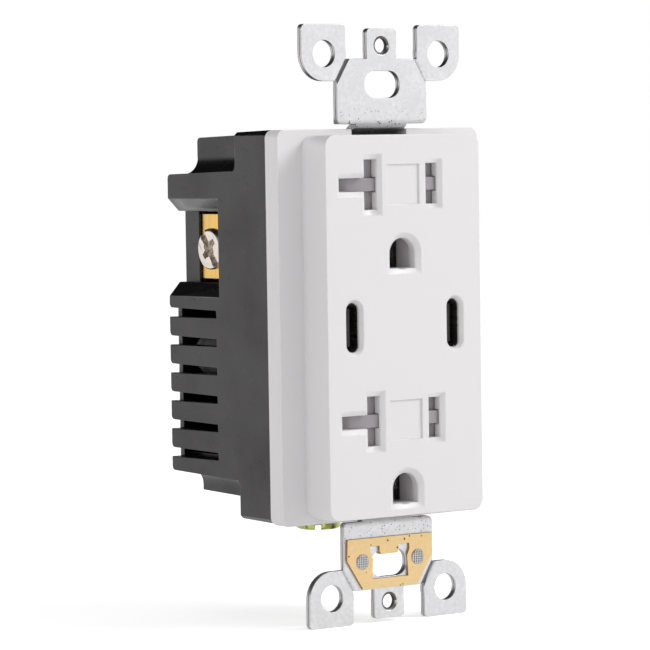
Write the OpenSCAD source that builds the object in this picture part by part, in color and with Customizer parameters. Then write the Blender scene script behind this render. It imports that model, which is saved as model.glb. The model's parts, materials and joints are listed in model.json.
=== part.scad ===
// Decorator duplex receptacle, 20 A, tamper resistant, with two charging ports.
// X runs to the right as seen from the room, Y runs into the wall, Z is up.
// The origin lies midway between the mounting screws, on the wall side of the strap.

/* [Raised face and flange] */
// Width of the raised face
face_w = 33.2; // [32.6:0.1:33.4]
// Height of the raised face
face_h = 65.9; // [65.6:0.1:66.4]
// How far the face stands in front of the wall
face_out = 7.0; // [6.9:0.1:7.4]
// Corner radius of the raised face
face_r = 2.0; // [1:0.1:3]
// Thickness of the face wall in front of the shutters
face_wall = 2.2; // [2.1:0.1:2.4]
// Width of the flange around the raised face
flange_w = 43.4; // [43.2:0.1:44]
// Height of the flange
flange_h = 68.0; // [67.6:0.1:68.6]
// Depth of the seam between flange and rear housing
seam_y = 3.6; // [3.5:0.1:3.8]

/* [Outlets] */
// Height of the upper blade line above the centre
upper_z = 24.4; // [24.2:0.1:24.6]
// Height of the lower blade line, below the centre
lower_z = -16.3; // [-16.5:0.1:-16.1]
// Drop from a blade line to its ground pin
ground_drop = 12.0; // [11.8:0.1:12.1]
// Distance from the centre to the middle of a blade slot
blade_x = 6.5; // [6.4:0.05:6.6]
// Height of the neutral slot
neutral_h = 8.6; // [8.2:0.1:8.8]
// Height of the hot slot
hot_h = 7.0; // [6.8:0.1:7.2]
// Height of the sideways arm of the neutral slot
arm_h = 2.3; // [2.2:0.05:2.4]
// Outer end of the sideways arm
arm_x = -13.3; // [-13.35:0.05:-13.2]
// Travel of a shutter from closed to open
shutter_travel = 7.6; // [7.5:0.05:7.6]

/* [Charging ports] */
// Distance from the centre to the middle of a charging port
port_x = 10.85; // [10.6:0.05:11]
// Height of a port opening
port_h = 8.6; // [8.5:0.05:8.8]
// Width of a port opening
port_w = 2.75; // [2.7:0.05:2.8]

/* [Mounting strap] */
// Thickness of the strap steel
strap_t = 1.2; // [1.1:0.05:1.3]
// Distance between the wall plate screw holes
plate_pitch = 96.84; // [96.8:0.02:96.9]
// Distance between the box mounting slots
mount_pitch = 83.34; // [83.3:0.02:83.4]
// Width of the strap between the ears
strap_w = 19.3; // [19:0.1:19.6]
// Width across both ears
ears_w = 34.1; // [33.8:0.1:34.4]
// Height over the ears
ears_h = 104.0; // [103.8:0.1:104.4]
// Width of the neck that enters the body
neck_w = 11.0; // [10.6:0.1:11.2]

/* [Rear housing] */
// Width of the rear housing
body_w = 43.0; // [42.8:0.1:43.2]
// Depth of the rear housing behind the wall surface
body_y = 34.3; // [34.1:0.1:34.6]
// Height of the full depth block between the screw corners
block_w = 30.0; // [29.8:0.1:30.2]
// Thickness of the side walls
wall = 1.8; // [1.7:0.05:1.9]
// Thickness of the rear wall
rear_wall = 1.2; // [1.1:0.05:1.3]
// Draft angle of the upper and lower faces
draft = 1.4; // [1:0.1:1.6]
// Number of cooling slots on each side
vent_count = 6; // [4:1:6]
// Distance between cooling slots
vent_pitch = 5.0; // [4.9:0.05:5]
// Height of a cooling slot at the rear
vent_h = 1.65; // [1.5:0.05:1.8]
// Height of a cooling slot at its front end
vent_front_h = 1.25; // [1.1:0.05:1.4]

/* [Terminals] */
// Height of the side terminal screws
terminal_z = 13.3; // [13.2:0.1:13.4]
// Depth of the side terminal screws
terminal_y = 24.4; // [24.3:0.1:24.5]
// Radius of the side terminal screw heads
terminal_head_r = 3.65; // [3.4:0.05:3.7]
// Radius of the ground screw head
ground_head_r = 3.95; // [3.8:0.05:3.95]

/* [Hidden] */
eps = 0.05;
outlets = [upper_z, lower_z];
face_y = -face_out;
flange_y = -0.15;
under_y = face_y + face_wall;      // rear surface of the face wall
bevel_y = 0.7;                     // depth of the bevel around a slot
shutter_right = 7.75;              // right edge of a closed shutter
cover_in_x = shutter_right + shutter_travel + 0.05; // half width of the hollow behind the face
cover_in_z = 31.6;
neutral_slot = [-blade_x - 1.45, -blade_x + 1.15];
hot_slot = [blade_x - 1.18, blade_x + 1.17];
strap_web_y = 1.4;                 // front of the strap where it runs inside the body
upper_bend_z = 35.9;               // where the strap ends start to bend back
lower_bend_z = 34.9;
bend_h = 3.25;                     // height of the offset bend down to the web inside the body
ear_hole = [12.35, 46.95];
lug_z = -30.2;                     // lower face of the ground lug
tab_x = 13.3;                      // inner face of a terminal tab
tab_t = 0.8;
screw_r = 2.05;
wire_r = 1.2;
wire_x = -15.25;                   // wires lie between the tab and the clamp
wire_gap = 3.4;                    // distance from the screw to a wire
tray_y = -2.1;
shutter_y = [-4.7, -2.2];
rib_y = -5.8;                      // front of the shutter ribs inside the slots
neutral_rib_x = -5.05;             // right ends of the ribs
hot_rib_x = 8.0;
port_board_y = 3.2;
power_board_y = 14.4;
board_t = 1.5;
parts_y = power_board_y + board_t; // mounting plane of the power components
corner_x = 18.4;                   // housing screw positions
corner_z = 30.0;
front_block_y = 13.1;              // rear of the full height part of the housing
front_top = 34.0;
front_bottom = -33.7;
mid_top = 26.5;                    // heights at the rear; the draft adds to them towards the front
mid_bottom = -26.3;
block_top = 32.95;
block_bottom = -30.4;
corner_fillet = 3.0;
root_r = 1.0;                      // fillet where the stepped corners meet the front block
draft_rise = (body_y - front_block_y) * tan(draft);
block_in_x = block_w / 2 - 1.3;
ground_screw_at = [-8.5, 8.0];
ground_wire_z = -31.7;
clip_rivet = [6.0, -41.05];
$fn = 48;

// Outline drawn in X and Z, thickened from y0 to y1
module plate(y0, y1) {
  translate([0, y1, 0]) rotate([90, 0, 0]) linear_extrude(y1 - y0) children();
}

// Outline drawn in Y and Z, thickened from x0 to x1
module slab(x0, x1) {
  translate([x0, 0, 0]) rotate([90, 0, 90]) linear_extrude(x1 - x0) children();
}

module box(x, y, z) {
  translate([x[0], y[0], z[0]]) cube([x[1] - x[0], y[1] - y[0], z[1] - z[0]]);
}

// Round bar along Y, from y0 to y1
module bar_y(x, z, y0, y1, r, r2 = -1) {
  translate([x, y0, z]) rotate([-90, 0, 0]) cylinder(h = y1 - y0, r1 = r, r2 = r2 < 0 ? r : r2);
}

// Round bar along X, from x0 to x1
module bar_x(y, z, x0, x1, r) {
  translate([x0, y, z]) rotate([0, 90, 0]) cylinder(h = x1 - x0, r = r);
}

module round_rect(w, h, r) {
  square([w - 2 * r, h], center = true);
  square([w, h - 2 * r], center = true);
  for (sx = [-1, 1], sz = [-1, 1])
    translate([sx * (w / 2 - r), sz * (h / 2 - r)]) circle(r = r);
}

// Upright slot outline with round ends
module stadium(w, h) {
  square([w, h - w], center = true);
  for (s = [-1, 1]) translate([0, s * (h - w) / 2]) circle(d = w);
}

// Rectangular opening whose mouth widens by bx and bz at the front surface
module bevelled_opening(x, z, bx, bz) {
  box(x, [face_y - eps, under_y + eps], z);
  intersection() {
    linear_extrude(200, center = true) polygon([
      [x[0] - bx, face_y], [x[1] + bx, face_y], [x[1], face_y + bevel_y], [x[0], face_y + bevel_y]]);
    slab(-50, 50) polygon([
      [face_y, z[0] - bz], [face_y, z[1] + bz], [face_y + bevel_y, z[1]], [face_y + bevel_y, z[0]]]);
  }
}

module neutral_opening(z0) {
  bevelled_opening(neutral_slot, [z0 - neutral_h / 2, z0 + neutral_h / 2], 0.78, 0.95);
  bevelled_opening([arm_x, neutral_slot[1]], [z0 - arm_h / 2, z0 + arm_h / 2], 0.78, 0.87);
}

module hot_opening(z0) {
  bevelled_opening(hot_slot, [z0 - hot_h / 2, z0 + hot_h / 2], 0.78, 0.8);
}

// Outline of the square sleeve behind a ground pin opening
module sleeve_outline(grow = 0) {
  r = 2.7 + grow;
  flat = 2.52 + grow;
  translate([-r, -flat]) square([2 * r, flat + r]);
}

module ground_opening(g) {
  r = 2.7;
  wide = 0.98;
  flat = 2.52;
  bevelled_opening([-r, r], [g - flat, g], wide, wide);
  bar_y(0, g, face_y - eps, under_y + eps, r);
  difference() {
    bar_y(0, g, face_y, face_y + bevel_y, r + wide, r);
    box([-9, 9], [face_y - 1, under_y], [g - 9, g]);
  }
}

module port_opening(x) {
  translate([x, 0, 0]) plate(face_y - eps, under_y + eps) stadium(port_w, port_h);
  straight = (port_h - port_w) / 2;
  for (s = [-1, 1])
    bar_y(x, s * straight, face_y, face_y + bevel_y, port_w / 2 + 0.5, port_w / 2);
  bevelled_opening([x - port_w / 2, x + port_w / 2], [-straight, straight], 0.5, 0);
  translate([x, 0, 0]) plate(face_y + 1, under_y + eps) stadium(3.5, 9.3);
}

// White front moulding with the raised face, flange and screw posts
module face_cover() {
  color("whitesmoke") difference() {
    union() {
      plate(face_y, flange_y + eps) round_rect(face_w, face_h, face_r);
      plate(flange_y, seam_y) round_rect(flange_w, flange_h, 1.5);
      for (sx = [-1, 1], sz = [-1, 1]) bar_y(sx * corner_x, sz * corner_z, seam_y - eps, 8.6, 2);
    }
    box([-cover_in_x, cover_in_x], [under_y, seam_y + eps], [-cover_in_z, cover_in_z]);
    for (z0 = outlets) {
      neutral_opening(z0);
      hot_opening(z0);
      ground_opening(z0 - ground_drop);
      // grooves that clear the shutter ribs as they slide
      box([neutral_slot[1] - eps, neutral_rib_x + shutter_travel + 0.1],
        [rib_y - 0.1, shutter_y[0] + 0.1], [z0 - 1.2, z0 + 1.2]);
      box([hot_slot[1] - eps, hot_rib_x + shutter_travel + 0.1],
        [rib_y - 0.1, shutter_y[0] + 0.1], [z0 - 1.2, z0 + 1.2]);
      // shallow bare panel between the slots
      box([-3.4, 3.4], [face_y - eps, face_y + 0.35], [z0 - 3.4, z0 + 3.4]);
    }
    for (s = [-1, 1]) port_opening(s * port_x);
    for (s = [-1, 1])
      translate([0, 0, s * 33]) box([-5.9, 5.9], [flange_y, seam_y + eps], [-1.5, 1.5]);
    for (sx = [-1, 1], sz = [-1, 1]) bar_y(sx * corner_x, sz * corner_z, 0.6, 9, 0.95);
  }
}

// Outline of the housing behind the screw corners, true at its upper edge and open below
module rear_outline(shelf, top) {
  low = 40;
  difference() {
    union() {
      translate([-body_w / 2, -low]) square([body_w, low + shelf]);
      translate([-block_w / 2, -low]) square([block_w, low + top]);
      for (s = [-1, 1])
        translate([s * (block_w + corner_fillet) / 2, shelf + corner_fillet / 2])
          square(corner_fillet, center = true);
    }
    for (s = [-1, 1])
      translate([s * (block_w / 2 + corner_fillet), shelf + corner_fillet]) circle(corner_fillet);
  }
}

// Outline drawn at the rear face and extruded to the front, rising by the draft angle
module drafted() {
  translate([0, body_y, 0]) rotate([-draft, 0, 0]) plate(-30, 2) children();
}

module rear_block() {
  intersection() {
    drafted() rear_outline(mid_top, block_top);
    mirror([0, 0, 1]) drafted() rear_outline(-mid_bottom, -block_bottom);
    box([-body_w, body_w], [front_block_y - eps, body_y], [-40, 40]);
  }
}

// Full height part of the housing with cut corners
module front_block() {
  half_w = body_w / 2;
  cut = 0.8;
  drop = (front_block_y - seam_y) * tan(draft);
  intersection() {
    plate(seam_y, front_block_y) polygon([
      [-half_w + cut, front_bottom], [half_w - cut, front_bottom], [half_w, front_bottom + cut],
      [half_w, front_top - cut], [half_w - cut, front_top], [-half_w + cut, front_top],
      [-half_w, front_top - cut], [-half_w, front_bottom + cut]]);
    slab(-body_w, body_w) polygon([
      [seam_y, front_bottom], [seam_y, front_top],
      [front_block_y, front_top - drop], [front_block_y, front_bottom + drop]]);
  }
}

// Hollow fillets at the foot of the upper stepped corners, on a shelf and beside the block
module root_fillets(shelf, top) {
  y = front_block_y + root_r;
  for (side = [[0, 0, 0], [1, 0, 0]]) mirror(side) {
    difference() {
      box([block_w / 2, body_w / 2], [front_block_y - eps, y], [shelf - root_r, shelf + root_r]);
      bar_x(y, shelf + root_r, block_w / 2 - 1, body_w / 2 + 1, root_r);
    }
    intersection() {
      difference() {
        box([block_w / 2 - eps, block_w / 2 + root_r], [front_block_y - eps, y], [shelf, top + 1]);
        translate([block_w / 2 + root_r, y, shelf - 1]) cylinder(h = 20, r = root_r);
      }
      drafted() square([block_w, top - draft_rise]);
    }
  }
}

// Wiring recess in the left side, open to the rear, with sloping top and bottom
module terminal_recess() {
  inner_x = -body_w / 2 + 3.6;
  slope_x = -body_w / 2 + 2.2;
  outer_x = -body_w / 2 - 0.1;
  plate_h = [terminal_z - 6.0, terminal_z + 6.65];
  mirror([0, 1, 0]) rotate([90, 0, 0]) translate([0, 0, 18.6]) linear_extrude(body_y) polygon([
    [outer_x, plate_h[1] + 2.35], [slope_x, plate_h[1]], [inner_x, plate_h[1]],
    [inner_x, plate_h[0]], [slope_x, plate_h[0]], [outer_x, plate_h[0] - 2.5]]);
  // window that the clamp plate slides through
  box([inner_x - 1, -16.4], [19.6, 29.85], plate_h);
  // holes for two wires pushed in from the rear
  for (s = [-1, 1])
    bar_y(wire_x, terminal_z + s * wire_gap, body_y - rear_wall - 0.1, body_y + 1, wire_r);
}

// Walls around the wiring recess and rails that the bus tab bears on
module terminal_walls() {
  y = [17.2, body_y - rear_wall / 2];
  box([-20.6, -16.5], y, [3.4, 23.7]);
  for (z = [[5.4, 6.9], [20.3, 21.8]]) box([-16.6, -tab_x - tab_t], y, z);
}

// Cooling slots that narrow towards the front
module side_vents() {
  first_z = 1.97;
  half = [vent_h / 2, vent_front_h / 2];
  for (k = [0 : vent_count - 1])
    translate([0, 0, first_z - k * vent_pitch]) slab(-body_w / 2 - 1, -body_w / 2 + 1.8) polygon([
      [body_y, half[0]], [19.6, half[1]], [19.6, -half[1]], [body_y, -half[0]],
      [body_y + 1, -half[0]], [body_y + 1, half[0]]]);
}

// Black rear housing with vents, wiring recesses and ground screw opening
module rear_housing() {
  in_x = body_w / 2 - wall;
  color("dimgray") difference() {
    union() {
      difference() {
        union() {
          front_block();
          rear_block();
          root_fillets(mid_top + draft_rise, block_top + draft_rise);
          mirror([0, 0, 1]) root_fillets(-mid_bottom + draft_rise, -block_bottom + draft_rise);
        }
        box([-in_x, in_x], [seam_y - eps, front_block_y - wall], [-31.5, 31.5]);
        box([-in_x, in_x], [seam_y - eps, body_y - rear_wall], [mid_bottom + wall, mid_top - wall]);
        box([-block_in_x, block_in_x], [seam_y - eps, body_y - rear_wall],
          [block_bottom + wall, block_top - wall]);
      }
      for (sx = [-1, 1], sz = [-1, 1])
        bar_y(sx * corner_x, sz * corner_z, seam_y, front_block_y - 0.5, 2.9);
      terminal_walls();
      mirror([1, 0, 0]) terminal_walls();
      // posts that the power board rests on
      for (s = [-1, 1])
        box([s * 16.3 - 1.3, s * 16.3 + 1.3], [parts_y, body_y - 1], [mid_bottom + 1, -23.2]);
    }
    for (sx = [-1, 1], sz = [-1, 1]) {
      bar_y(sx * corner_x, sz * corner_z, seam_y - eps, 8.8, 2.1);
      bar_y(sx * corner_x, sz * corner_z, 8, front_block_y + 1, 1.2);
    }
    terminal_recess();
    mirror([1, 0, 0]) terminal_recess();
    side_vents();
    mirror([1, 0, 0]) side_vents();
    // opening for the ground screw and its clamp; its two wire holes run out as shallow grooves
    box([-13.2, -3.8], [3.9, 12.1], [-34, -30.35]);
    for (x = [ground_screw_at[0] - wire_gap, ground_screw_at[0] + wire_gap]) {
      bar_y(x, ground_wire_z, 12, front_block_y + eps, wire_r);
      box([x - 1.3, x + 1.3], [front_block_y, body_y + 1], [-34, ground_wire_z + 1.3]);
    }
  }
}

// Moulding inside the body that holds the blade contacts in place
module contact_carrier() {
  color("gainsboro") difference() {
    union() {
      box([-19.3, 19.3], [5, 6.4], [-26, 26]);
      box([-14.8, 14.8], [5, 6.4], [-22, 31]);
      box([-3.9, 14.8], [5, 6.4], [-31, -22]);
      for (z0 = outlets) {
        box([-15.2, -4.2], [5, 9.2], [z0 - 4.8, z0 + 4.8]);
        box([4.2, 8.9], [5, 9.2], [z0 - 4.6, z0 + 4.6]);
      }
    }
    for (z0 = outlets) {
      box([-14.4, -5], [4, 10], [z0 - 4, z0 + 4]);
      box([5, 8.1], [4, 10], [z0 - 3.8, z0 + 3.8]);
      box([-3.4, 3.4], [4, 10], [z0 - ground_drop - 3, z0 - ground_drop + 3]);
    }
    box([-12.6, 12.6], [4, 10], [-8.2, 8.2]);
    box([-19.4, -3.9], [4, 10], [-27, -22.4]);
  }
  // pads that hold the port board, and legs that hold the power board
  color("gainsboro") for (s = [-1, 1], z = [-6.8, 6.8])
    box([s * 13.9 - 0.8, s * 13.9 + 0.8], [port_board_y + 1.2, 5 + eps], [z - 0.7, z + 0.7]);
  color("gainsboro") for (s = [-1, 1], z = [-20.5, 1])
    bar_y(s * 17, z, 6.3, power_board_y, 1.2);
}

// Inner tray behind the shutters, with a spring stop and a ground pin sleeve for each outlet
module shutter_tray() {
  z = 31.2;
  color("white") difference() {
    union() {
      box([-15.2, 15.2], [tray_y, -0.9], [-z, z]);
      for (s = [-1, 1]) box([s * 14.7 - 0.5, s * 14.7 + 0.5], [-1, 1.2], [-z, z]);
      for (z0 = outlets) {
        box([8.5, 9.7], [-4.6, tray_y + eps], [z0 - 7.8, z0 - 5.5]);
        translate([0, 0, z0 - ground_drop]) plate(under_y + eps, tray_y + eps) sleeve_outline(0.6);
      }
      for (s = [-1, 1], z = [-6.6, 6.6]) bar_y(s * 7, z, -1, port_board_y, 0.9);
    }
    for (z0 = outlets) {
      box([-13.6, -4.9], [-3, 0], [z0 - 1.5, z0 + 1.5]);
      box([-8.2, -4.9], [-3, 0], [z0 - 4.5, z0 + 4.5]);
      box([5, 8], [-3, 0], [z0 - 3.8, z0 + 3.8]);
      translate([0, 0, z0 - ground_drop]) plate(under_y, 0) sleeve_outline();
    }
    for (s = [-1, 1]) translate([s * port_x, 0, 0]) plate(-3, 0) stadium(3.7, 9.5);
  }
}

// Upright tab with its two outer corners rounded
module tab_outline(x0, x1, z0, z1) {
  r = 0.8;
  translate([x0, z0]) square([x1 - x0, z1 - z0 - r]);
  translate([x0 + r, z0]) square([x1 - x0 - 2 * r, z1 - z0]);
  for (x = [x0 + r, x1 - r]) translate([x, z1 - r]) circle(r = r);
}

// Flat outline of one end of the strap, drawn upwards from its bend
module strap_end_outline(bend_z) {
  ear_r = ears_w / 2 - ear_hole[0];
  ear_in_x = 7.75;
  notch_z = 46.1;
  difference() {
    union() {
      translate([-strap_w / 2, bend_z]) square([strap_w, notch_z - bend_z]);
      tab_outline(-3.2, 3.2, notch_z - 1, 51.35);
      for (side = [[0, 0], [1, 0]]) mirror(side) {
        translate(ear_hole) circle(r = ear_r);
        tab_outline(ear_in_x, ears_w / 2, ear_hole[1], ears_h / 2);
        translate([ear_in_x, ear_hole[1] - ear_r]) square([ear_hole[0] - ear_in_x, ear_r]);
      }
    }
    for (s = [-1, 1]) translate([s * ear_hole[0], ear_hole[1]]) circle(r = 2.35);
    translate([0, mount_pitch / 2]) round_rect(7.6, 4.7, 2.2);
    translate([0, plate_pitch / 2]) circle(r = 1.4);
  }
}

// Front view of the shoulders and the neck, inwards of the bend line
module neck_outline(bend_z, shoulder_z) {
  r = 0.9;
  translate([-strap_w / 2, shoulder_z + r]) square([strap_w, 1]);
  translate([-strap_w / 2 + r, shoulder_z]) square([strap_w - 2 * r, 2]);
  for (s = [-1, 1]) translate([s * (strap_w / 2 - r), shoulder_z + r]) circle(r = r);
  translate([-neck_w / 2, bend_z - bend_h]) square([neck_w, 3]);
}

// Front view of the strap where it runs inside the body
module strap_web_outline() {
  difference() {
    union() {
      translate([-neck_w / 2, bend_h - lower_bend_z - eps])
        square([neck_w, upper_bend_z + lower_bend_z - 2 * bend_h + 2 * eps]);
      translate([-12.8, -31.2]) square([9, 4.2]);
    }
    for (z0 = outlets) {
      for (s = [-1, 1]) translate([s * (neck_w / 2 + 3.4) / 2, z0]) square([2.4, 11.2], center = true);
      translate([0, z0 - ground_drop]) circle(r = 2.8);
      for (s = [-1, 1]) translate([s * 4.2, z0 - ground_drop]) circle(r = 0.72);
    }
  }
}

// Side view of the offset bend between the strap end and the web behind it
function bend(centre, r, from, to) =
  [for (k = [0 : 5]) let (a = from + (to - from) * k / 5) [centre[0] + r * cos(a), centre[1] + r * sin(a)]];

module strap_neck(bend_z, shoulder_z) {
  turn = 65;
  r_in = 1.0;
  r_out = r_in + strap_t;
  first = [r_in, bend_z];
  second = [strap_web_y - r_in, bend_z - bend_h];
  intersection() {
    slab(-strap_w, strap_w) polygon(concat(
      bend(first, r_out, 180, 180 + turn), bend(second, r_in, turn, 0),
      bend(second, r_out, 0, turn), bend(first, r_in, 180 + turn, 180)));
    plate(-2, 4) neck_outline(bend_z, shoulder_z);
  }
}

module strap_end(bend_z, shoulder_z, score) {
  difference() {
    plate(-strap_t, 0) strap_end_outline(bend_z);
    // countersink of the tapped hole and the two snap-off score lines
    bar_y(0, plate_pitch / 2, -strap_t - eps, -strap_t + 0.35, 1.75, 1.38);
    for (s = [-1, 1]) translate([s * 8.65, -strap_t, 44.1])
      rotate([0, -s * 31.5, 0]) rotate([0, 0, 45]) cube([score, score, 5.6], center = true);
  }
  strap_neck(bend_z, shoulder_z);
}

// Galvanised steel strap: ears, neck, inner web, ground lug and staking bosses
module mounting_strap() {
  color("silver") difference() {
    union() {
      strap_end(upper_bend_z, 34.85, 0.6);
      mirror([0, 0, 1]) strap_end(lower_bend_z, 34.1, 0.75);
      plate(strap_web_y, strap_web_y + strap_t) strap_web_outline();
      box([-12.8, -5.2], [strap_web_y, 11.2], [lug_z, lug_z + strap_t]);
      for (s = [-1, 1]) bar_y(s * clip_rivet[0], clip_rivet[1], -1.66, -strap_t + 0.2, 1.3);
    }
    translate([ground_screw_at[0], ground_screw_at[1], lug_z - 1]) cylinder(h = 4, r = screw_r + 0.05);
  }
}

// Brass spring clip that grounds the strap to the mounting screw
module grounding_clip() {
  front = -strap_t - 0.4;
  color("goldenrod") {
    difference() {
      plate(front, -strap_t) polygon([
        [-9.15, -37], [9.15, -37], [9.3, -40.7], [5.9, -45.9], [-5.9, -45.9], [-9.3, -40.7]]);
      plate(front - 1, 0) polygon([
        [-4.3, -38.5], [-2.3, -38.5], [-2.3, -39.6], [1.9, -39.6], [1.9, -38.5], [4.2, -38.5],
        [4.2, -39.5], [3.7, -40.7], [3.9, -44.2], [-3.9, -44.2], [-3.7, -40.7], [-4.3, -39.5]]);
      for (s = [-1, 1]) bar_y(s * clip_rivet[0], clip_rivet[1], -3, 0, 1.34);
    }
    box([-2.1, 1.75], [front, -0.3], [-40, -39.6]);
  }
}

// Two bronze spring contacts for the ground pins
module ground_contacts() {
  back = strap_web_y + strap_t;
  color("peru") for (z0 = outlets) {
    g = z0 - ground_drop;
    difference() {
      box([-5, 5], [back, back + 0.5], [g - 3, g + 3]);
      bar_y(0, g, 0, 5, 2.5);
      for (s = [-1, 1]) bar_y(s * 4.2, g, 0, 5, 0.72);
    }
    for (s = [-1, 1])
      box([s * 2.75 - 0.25, s * 2.75 + 0.25], [back + 0.5 - eps, 10.5], [g - 2.4, g + 2.4]);
  }
}

module ground_rivets() {
  back = strap_web_y + strap_t + 0.5;
  color("silver") for (z0 = outlets, s = [-1, 1]) {
    bar_y(s * 4.2, z0 - ground_drop, strap_web_y - 0.4, back + 0.4, 0.7);
    bar_y(s * 4.2, z0 - ground_drop, strap_web_y - 0.4, strap_web_y, 1.05);
    bar_y(s * 4.2, z0 - ground_drop, back, back + 0.4, 1.05);
  }
}

// Brass plate behind a wiring recess, with the strip that joins both outlets to it
module bus_plate() {
  difference() {
    union() {
      box([-tab_x - tab_t, -tab_x], [9.4, 11.2], [lower_z - 3.6, upper_z + 3.6]);
      box([-tab_x - tab_t, -tab_x], [11, 13.4], [lower_z - 3.6, mid_top - wall - 0.2]);
      box([-tab_x - tab_t, -tab_x], [13.3, 31.5], [6, 21.2]);
      box([-tab_x - tab_t, -tab_x], [13.3, parts_y + 0.7], [-0.6, 1.8]);
    }
    bar_x(terminal_y, terminal_z, -tab_x - 2, -tab_x + 2, screw_r + 0.05);
  }
}

module neutral_bus() {
  leaf = 0.5;
  color("goldenrod") {
    bus_plate();
    for (z0 = outlets) {
      box([-5.9, -5.9 + leaf], [4, 13.4], [z0 - 3.6, z0 + 3.6]);
      for (s = [-1, 1]) {
        box([-7.4 - leaf, -7.4], [4, 13.4], [z0 + s * 2.35 - 1.25, z0 + s * 2.35 + 1.25]);
        box([-tab_x - eps, -7.45], [6.6, 13.4], [z0 + s * 1.03 - leaf / 2, z0 + s * 1.03 + leaf / 2]);
      }
      box([-tab_x - eps, -5.4], [12.6, 13.4], [z0 - 3.6, z0 + 3.6]);
    }
  }
}

module hot_bus() {
  leaf = 0.5;
  color("goldenrod") {
    mirror([1, 0, 0]) bus_plate();
    for (z0 = outlets) {
      for (x = [blade_x - 0.75 - leaf, blade_x + 0.75])
        box([x, x + leaf], [4, 13.4], [z0 - 3.4, z0 + 3.4]);
      box([blade_x - 0.75 - leaf, tab_x + eps], [12.6, 13.4], [z0 - 3.4, z0 + 3.4]);
    }
  }
}

// Sliding plate that presses wires against the bus tab
module terminal_clamp() {
  difference() {
    union() {
      box([-17.4, -16.4], [terminal_y - 4.6, terminal_y + 5.3], [terminal_z - 5.4, terminal_z + 6.15]);
      bar_x(terminal_y, terminal_z, -18.1, -17.3, 2.9);
    }
    bar_x(terminal_y, terminal_z, -19, -15, screw_r + 0.08);
  }
}

// Screw with a straight slot and a cross recess, head towards -X
module terminal_screw(slot_angle) {
  head_front = -19.6;
  difference() {
    union() {
      bar_x(terminal_y, terminal_z, head_front, -18.1, terminal_head_r);
      bar_x(terminal_y, terminal_z, -18.2, -9.6, screw_r);
    }
    translate([head_front, terminal_y, terminal_z]) rotate([slot_angle, 0, 0]) {
      cube([1.6, 1.2, 9], center = true);
      for (turn = [0, 90]) rotate([turn, 0, 0]) cube([2.2, 0.9, 4.2], center = true);
    }
  }
}

module neutral_clamp() { color("goldenrod") terminal_clamp(); }
module hot_clamp() { color("goldenrod") mirror([1, 0, 0]) terminal_clamp(); }
module neutral_screw() { color("lightgray") terminal_screw(-37); }
module hot_screw() { color("darkgoldenrod") mirror([1, 0, 0]) terminal_screw(25); }

module ground_clamp() {
  at = ground_screw_at;
  color("silver") difference() {
    box([at[0] - 4, at[0] + 4], [at[1] - 3.8, at[1] + 3.8], [-33.6, -32.6]);
    translate([at[0], at[1], -34]) cylinder(h = 2, r = screw_r + 0.08);
  }
}

// Green ground screw under the housing, head downwards
module ground_screw() {
  under = -33.6;
  head_t = 2.1;
  color("yellowgreen") translate([ground_screw_at[0], ground_screw_at[1], under]) difference() {
    union() {
      translate([0, 0, -head_t]) cylinder(h = head_t, r = ground_head_r);
      cylinder(h = 8, r = screw_r);
    }
    translate([0, 0, -head_t]) rotate(54) {
      cube([10, 1.1, 1.8], center = true);
      for (turn = [0, 90]) rotate(turn) cube([4.6, 0.9, 2.6], center = true);
    }
  }
}

// Sliding shutter: closed covers for both slots, joined above and below
module shutter(z0) {
  front = shutter_y[0];
  rear = shutter_y[1];
  left = arm_x + 0.05;
  color("darkgray") translate([0, 0, z0]) {
    difference() {
      union() {
        box([-8.2, -5.1], [front, rear], [-4.6, 4.6]);
        box([left, -5.1], [front, rear], [-1.9, 1.9]);
      }
      box([left - 1, -9], [front - 1, -2.8], [-1.1, 1.1]);
    }
    box([5.1, shutter_right], [front, rear], [-4.4, 4.4]);
    for (s = [-1, 1]) box([-8.2, shutter_right], [front, rear], [s * 4.5 - 0.7, s * 4.5 + 0.7]);
    // ribs that stand forward in the slots; the neutral one is a long ramp
    translate([0, 0, -1.12]) linear_extrude(2.24) polygon([
      [neutral_rib_x, rib_y], [-10.4, front - 0.35], [left, -3], [left, rear], [-5.5, rear],
      [-5.5, front + eps], [neutral_rib_x, front + eps]]);
    box([hot_slot[0] + 0.05, hot_rib_x], [rib_y, front + eps], [-1.12, 1.12]);
    // seat for the return spring
    box([-8.2, -6.8], [front + 0.1, rear - 0.1], [-7.6, -5]);
  }
}

module upper_shutter() { shutter(upper_z); }
module lower_shutter() { shutter(lower_z); }

// Outer shape of the coil spring that closes a shutter
module shutter_spring(z0) {
  color("lightgray") bar_x(-3.45, z0 - 6.65, -6.75, 8.45, 0.95);
}

module upper_shutter_spring() { shutter_spring(upper_z); }
module lower_shutter_spring() { shutter_spring(lower_z); }

module port_shell(x) {
  color("silver") translate([x, 0, 0]) difference() {
    plate(face_y + 1.05, port_board_y) stadium(3.2, 9);
    plate(face_y, port_board_y - 2.4) stadium(2.64, 8.44);
    plate(port_board_y - 3, port_board_y + 1) stadium(2, 7.8);
  }
}

// Insulator with the contact tongue inside a charging port
module port_tongue(x) {
  color("black") translate([x, 0, 0]) {
    plate(port_board_y - 2.35, port_board_y) stadium(1.9, 7.7);
    box([-0.35, 0.35], [face_y + 2, port_board_y - 2.3], [-3.3, 3.3]);
  }
}

module left_port_shell() { port_shell(-port_x); }
module right_port_shell() { port_shell(port_x); }
module left_port_tongue() { port_tongue(-port_x); }
module right_port_tongue() { port_tongue(port_x); }

module bridge_rectifier() {
  color("black") box([-16.5, -11], [parts_y, parts_y + 6.5], [-21.8, -19]);
}

module isolator_chip() {
  color("black") box([-2.4, 2.4], [power_board_y - 2.4, power_board_y], [-16, -11]);
}

module port_board() {
  color("darkgreen") box([-14.8, 14.8], [port_board_y, port_board_y + 1.2], [-7.6, 7.6]);
}

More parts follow.
